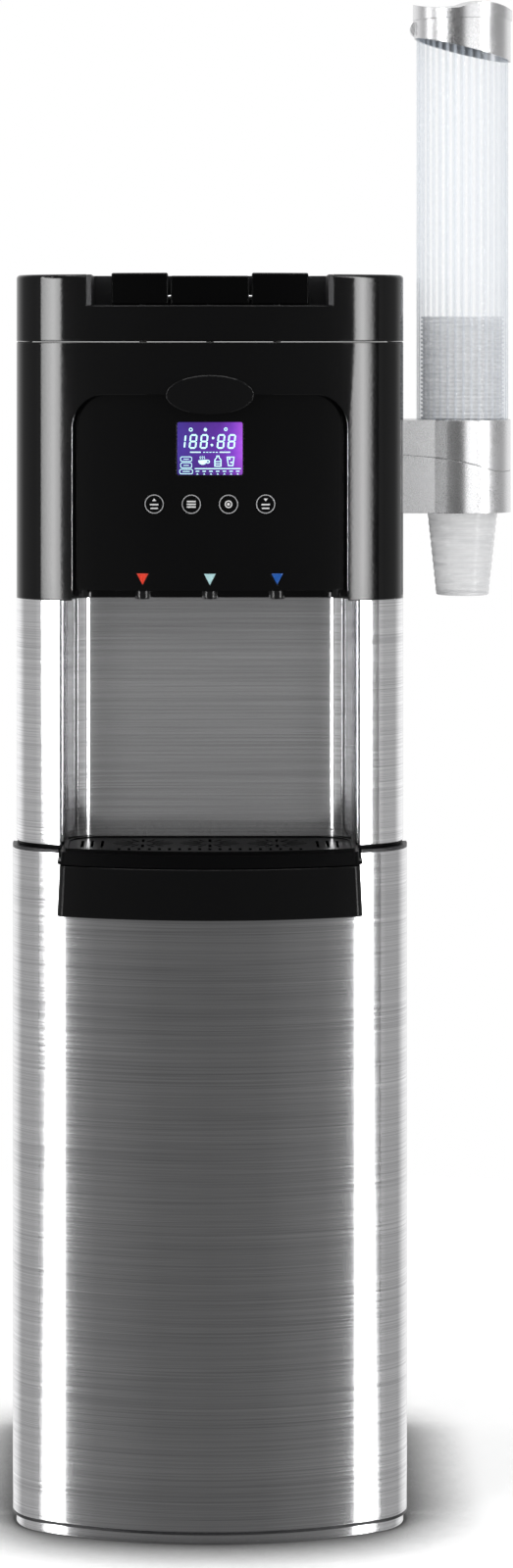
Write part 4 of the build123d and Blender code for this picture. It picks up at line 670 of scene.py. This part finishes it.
def bar(x0, x1, z, height):
    """A level bar in pieces short enough to follow the bowed front."""
    count = max(1, round((x1 - x0) / 4))
    edges = [x0 + (x1 - x0) * i / count for i in range(count + 1)]
    return [((a, z - height / 2), (b, z - height / 2), (b, z + height / 2), (a, z + height / 2))
            for a, b in zip(edges, edges[1:])]


def disc(x, z, radius, start=0, end=360, count=20):
    return [tuple(around(x, z, radius, start + (end - start) * i / count) for i in range(count))]


def ring(x, z, radius, width, count=40):
    return stroke([around(x, z, radius, 360 * i / count) for i in range(count)], width, closed=True)


def digit(x, z, width, height, line, lean, lit="abcdefg"):
    """A seven-segment digit whose lower left corner is at x, z."""
    half = line / 2
    low, mid, top = half, height / 2, height - half
    left, right = half, width - half
    runs = {
        "a": ((left, top), (right, top)),
        "b": ((right, mid), (right, top)),
        "c": ((right, low), (right, mid)),
        "d": ((left, low), (right, low)),
        "e": ((left, low), (left, mid)),
        "f": ((left, mid), (left, top)),
        "g": ((left, mid), (right, mid)),
    }
    made = []
    for key in lit:
        p, q = Vector(runs[key][0]), Vector(runs[key][1])
        way = (q - p).normalized()
        side = Vector((-way.y, way.x)) * half
        p, q = p + way * SEGMENT_GAP, q - way * SEGMENT_GAP
        bevel = way * half
        shape = (p, p + bevel + side, q - bevel + side, q, q - bevel - side, p + bevel - side)
        made.append(tuple((x + c.x + lean * c.y, z + c.y) for c in shape))
    return made


def rounded(x0, x1, z0, z1, radius, width):
    """The outline of a box with rounded corners."""
    corners = ((x1, z1, 0), (x0, z1, 90), (x0, z0, 180), (x1, z0, 270))
    points = []
    for x, z, start in corners:
        inner_x = x + (radius if x == x0 else -radius)
        inner_z = z + (radius if z == z0 else -radius)
        points += [around(inner_x, inner_z, radius, start + t) for t in (0, 30, 60, 90)]
    return stroke(points, width, closed=True)


def clock():
    """Four and a half plain digits with their colon, the dashes below and the small signs above."""
    size = {"width": 6.1, "height": 11.7, "line": 1.3, "lean": 0.107}
    shapes = digit(-25.9, -0.2, **size, lit="bc")
    for x in (-17.0, -8.35, 5.1, 13.65):
        shapes += digit(x, -0.2, **size)
    shapes += disc(1.6, 2.8, 1.0) + disc(2.5, 8.4, 1.0)
    shapes += bar(-15.8, -7.2, -2.9, 0.9) + bar(7.7, 16.2, -2.9, 0.9)
    for i in range(5):
        shapes += bar(-5.4 + i * 2.5, -3.8 + i * 2.5, -2.9, 0.6)
    return shapes + ring(-15.2, 15.1, 1.2, 0.7, 16) + disc(-3.6, 15.1, 1.3) + ring(12.6, 15.4, 1.1, 0.7, 16)


def steaming_cup():
    """Half a disc with a handle, under three wisps."""
    shapes = disc(-5.8, -9.4, 3.5, 180, 380) + ring(-1.6, -10.4, 1.2, 0.7, 14)
    for x in (-7.9, -6.3, -4.7):
        shapes += stroke([(x, -8.4), (x + 0.5, -7.6), (x - 0.1, -6.8), (x + 0.4, -6.0)], 0.4)
    return shapes


def bottle():
    """The outline of a bottle with two bars in it."""
    left = [(5.5, -5.9), (5.5, -7.0), (3.9, -9.0), (3.9, -14.0)]
    right = [(8.8, -14.0), (8.8, -9.0), (7.2, -7.0), (7.2, -5.9)]
    return stroke(left + right, 0.75, closed=True) + bar(4.4, 8.3, -10.3, 0.6) + bar(4.4, 8.3, -12.2, 0.6)


def glass_with_ice():
    """The outline of a glass with two short bars in it."""
    shapes = stroke([(13.7, -6.8), (19.2, -6.8), (18.3, -13.6), (14.7, -13.6)], 0.75, closed=True)
    return shapes + bar(15.0, 16.4, -8.2, 1.2) + bar(16.3, 17.7, -11.0, 1.2)


def pointers():
    """A long bar with seven short ones under it, each over a small triangle."""
    shapes = bar(-12.0, 24.6, -16.0, 0.75)
    for i in range(7):
        x = -9.9 + i * 5.35
        shapes += bar(x - 1.4, x + 1.4, -18.1, 0.7)
        shapes += [((x - 0.9, -20.7), (x + 0.9, -20.7), (x, -19.6))]
    return shapes


def framed_bars():
    """Three round-cornered frames, one above the other, each with a bar."""
    shapes = []
    for x0, x1, z0, z1 in (
        (-23.3, -14.5, -10.2, -6.6), (-23.3, -14.5, -15.3, -11.4), (-24.0, -13.8, -20.1, -16.6),
    ):
        shapes += rounded(x0, x1, z0, z1, 1.0, 0.5) + bar(x0 + 2.2, x1 - 2.2, (z0 + z1) / 2, 0.5)
    return shapes


def screen_marks():
    """What the display shows."""
    shapes = clock() + steaming_cup() + bottle() + glass_with_ice() + pointers() + framed_bars()
    marks("screen_marks", shapes, "display_window", "cabinet", lit_ink("lit_ink"))


def button_marks():
    """A thin ring around each button and a plain sign on it."""
    ink = finish_of("pale_ink", (0.42, 0.42, 0.43), 0.4, grain=2500, wander=0.2)
    bold = finish_of("white_ink", (0.8, 0.8, 0.8), 0.4, grain=2500, wander=0.15)
    two_bars = bar(-3.4, 3.4, -0.4, 1.1) + bar(-3.0, 3.0, -3.4, 1.1)
    signs = {
        1: [((-1.7, 2.4), (1.7, 2.4), (0, 4.6))] + two_bars,
        2: bar(-3.6, 3.6, 2.2, 1.1) + bar(-3.6, 3.6, 0, 1.1) + bar(-3.6, 3.6, -2.2, 1.1),
        3: ring(0, 0, 2.6, 0.9, 24) + disc(0, 0, 1.2),
        4: [((-1.7, 4.4), (1.7, 4.4), (0, 2.2))] + two_bars,
    }
    outline = ring(0, 0, 7.25, 0.75, 48)
    for i, sign in signs.items():
        button, body = f"button_{i}", f"button_{i}_body"
        marks(f"button_ring_{i}", outline, button, body, ink)
        marks(f"button_sign_{i}", sign, button, body, bold)


# ---------------------------------------------------------------- panel's rim, a painted highlight

PANEL_TOP = 0.9136           # the recess's upper edge in the head cover
RIM_FOOT = 0.757             # height where the rim starts
RIM_CORNER = 0.027           # radius of its upper corners
RIM_RADIUS = 0.00055
RIM_GAP = 0.0022             # how far outside the rim the cover's surface is sought


def panel_rim_highlight():
    """A pale metal bead around the recessed panel, up both sides and round its upper corners: a painted
    highlight where the black panel's rounded edge catches light.
    """
    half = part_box("control_panel")[1].x - 0.0026
    top = PANEL_TOP + 0.0003
    turn_z = top - RIM_CORNER
    tree = surface_of("head_cover")
    mesh = bpy.data.curves.new("panel_rim_highlight", "CURVE")
    mesh.dimensions = "3D"
    mesh.bevel_depth = RIM_RADIUS
    mesh.bevel_resolution = 3
    for side in (-1, 1):
        points = [(half, RIM_FOOT + (turn_z - RIM_FOOT) * i / 12) for i in range(13)]
        points += [around(half - RIM_CORNER, turn_z, RIM_CORNER, degrees) for degrees in range(6, 85, 6)]
        line = mesh.splines.new("POLY")
        line.points.add(len(points) - 1)
        for point, (x, z) in zip(line.points, points):
            above = RIM_GAP if z > top - 0.004 else 0
            y = front_of(tree, side * (x + RIM_GAP), z + above)
            point.co = (side * x, y + 0.0006, z, 1)
            point.radius = 1.0 if z < turn_z else max(0.25, 1 - (z - turn_z) / RIM_CORNER)
    # painted highlight: pale metal in place of the light on the black panel's rounded edge
    highlight_metal = finish_of("lip_painted_highlight", (0.78, 0.78, 0.80), 0.22, 1.0, grain=600, depth=4e-6, edge=0)
    piece_of("panel_rim_highlight", mesh, highlight_metal, "cabinet")


screen_marks()
button_marks()
panel_rim_highlight()
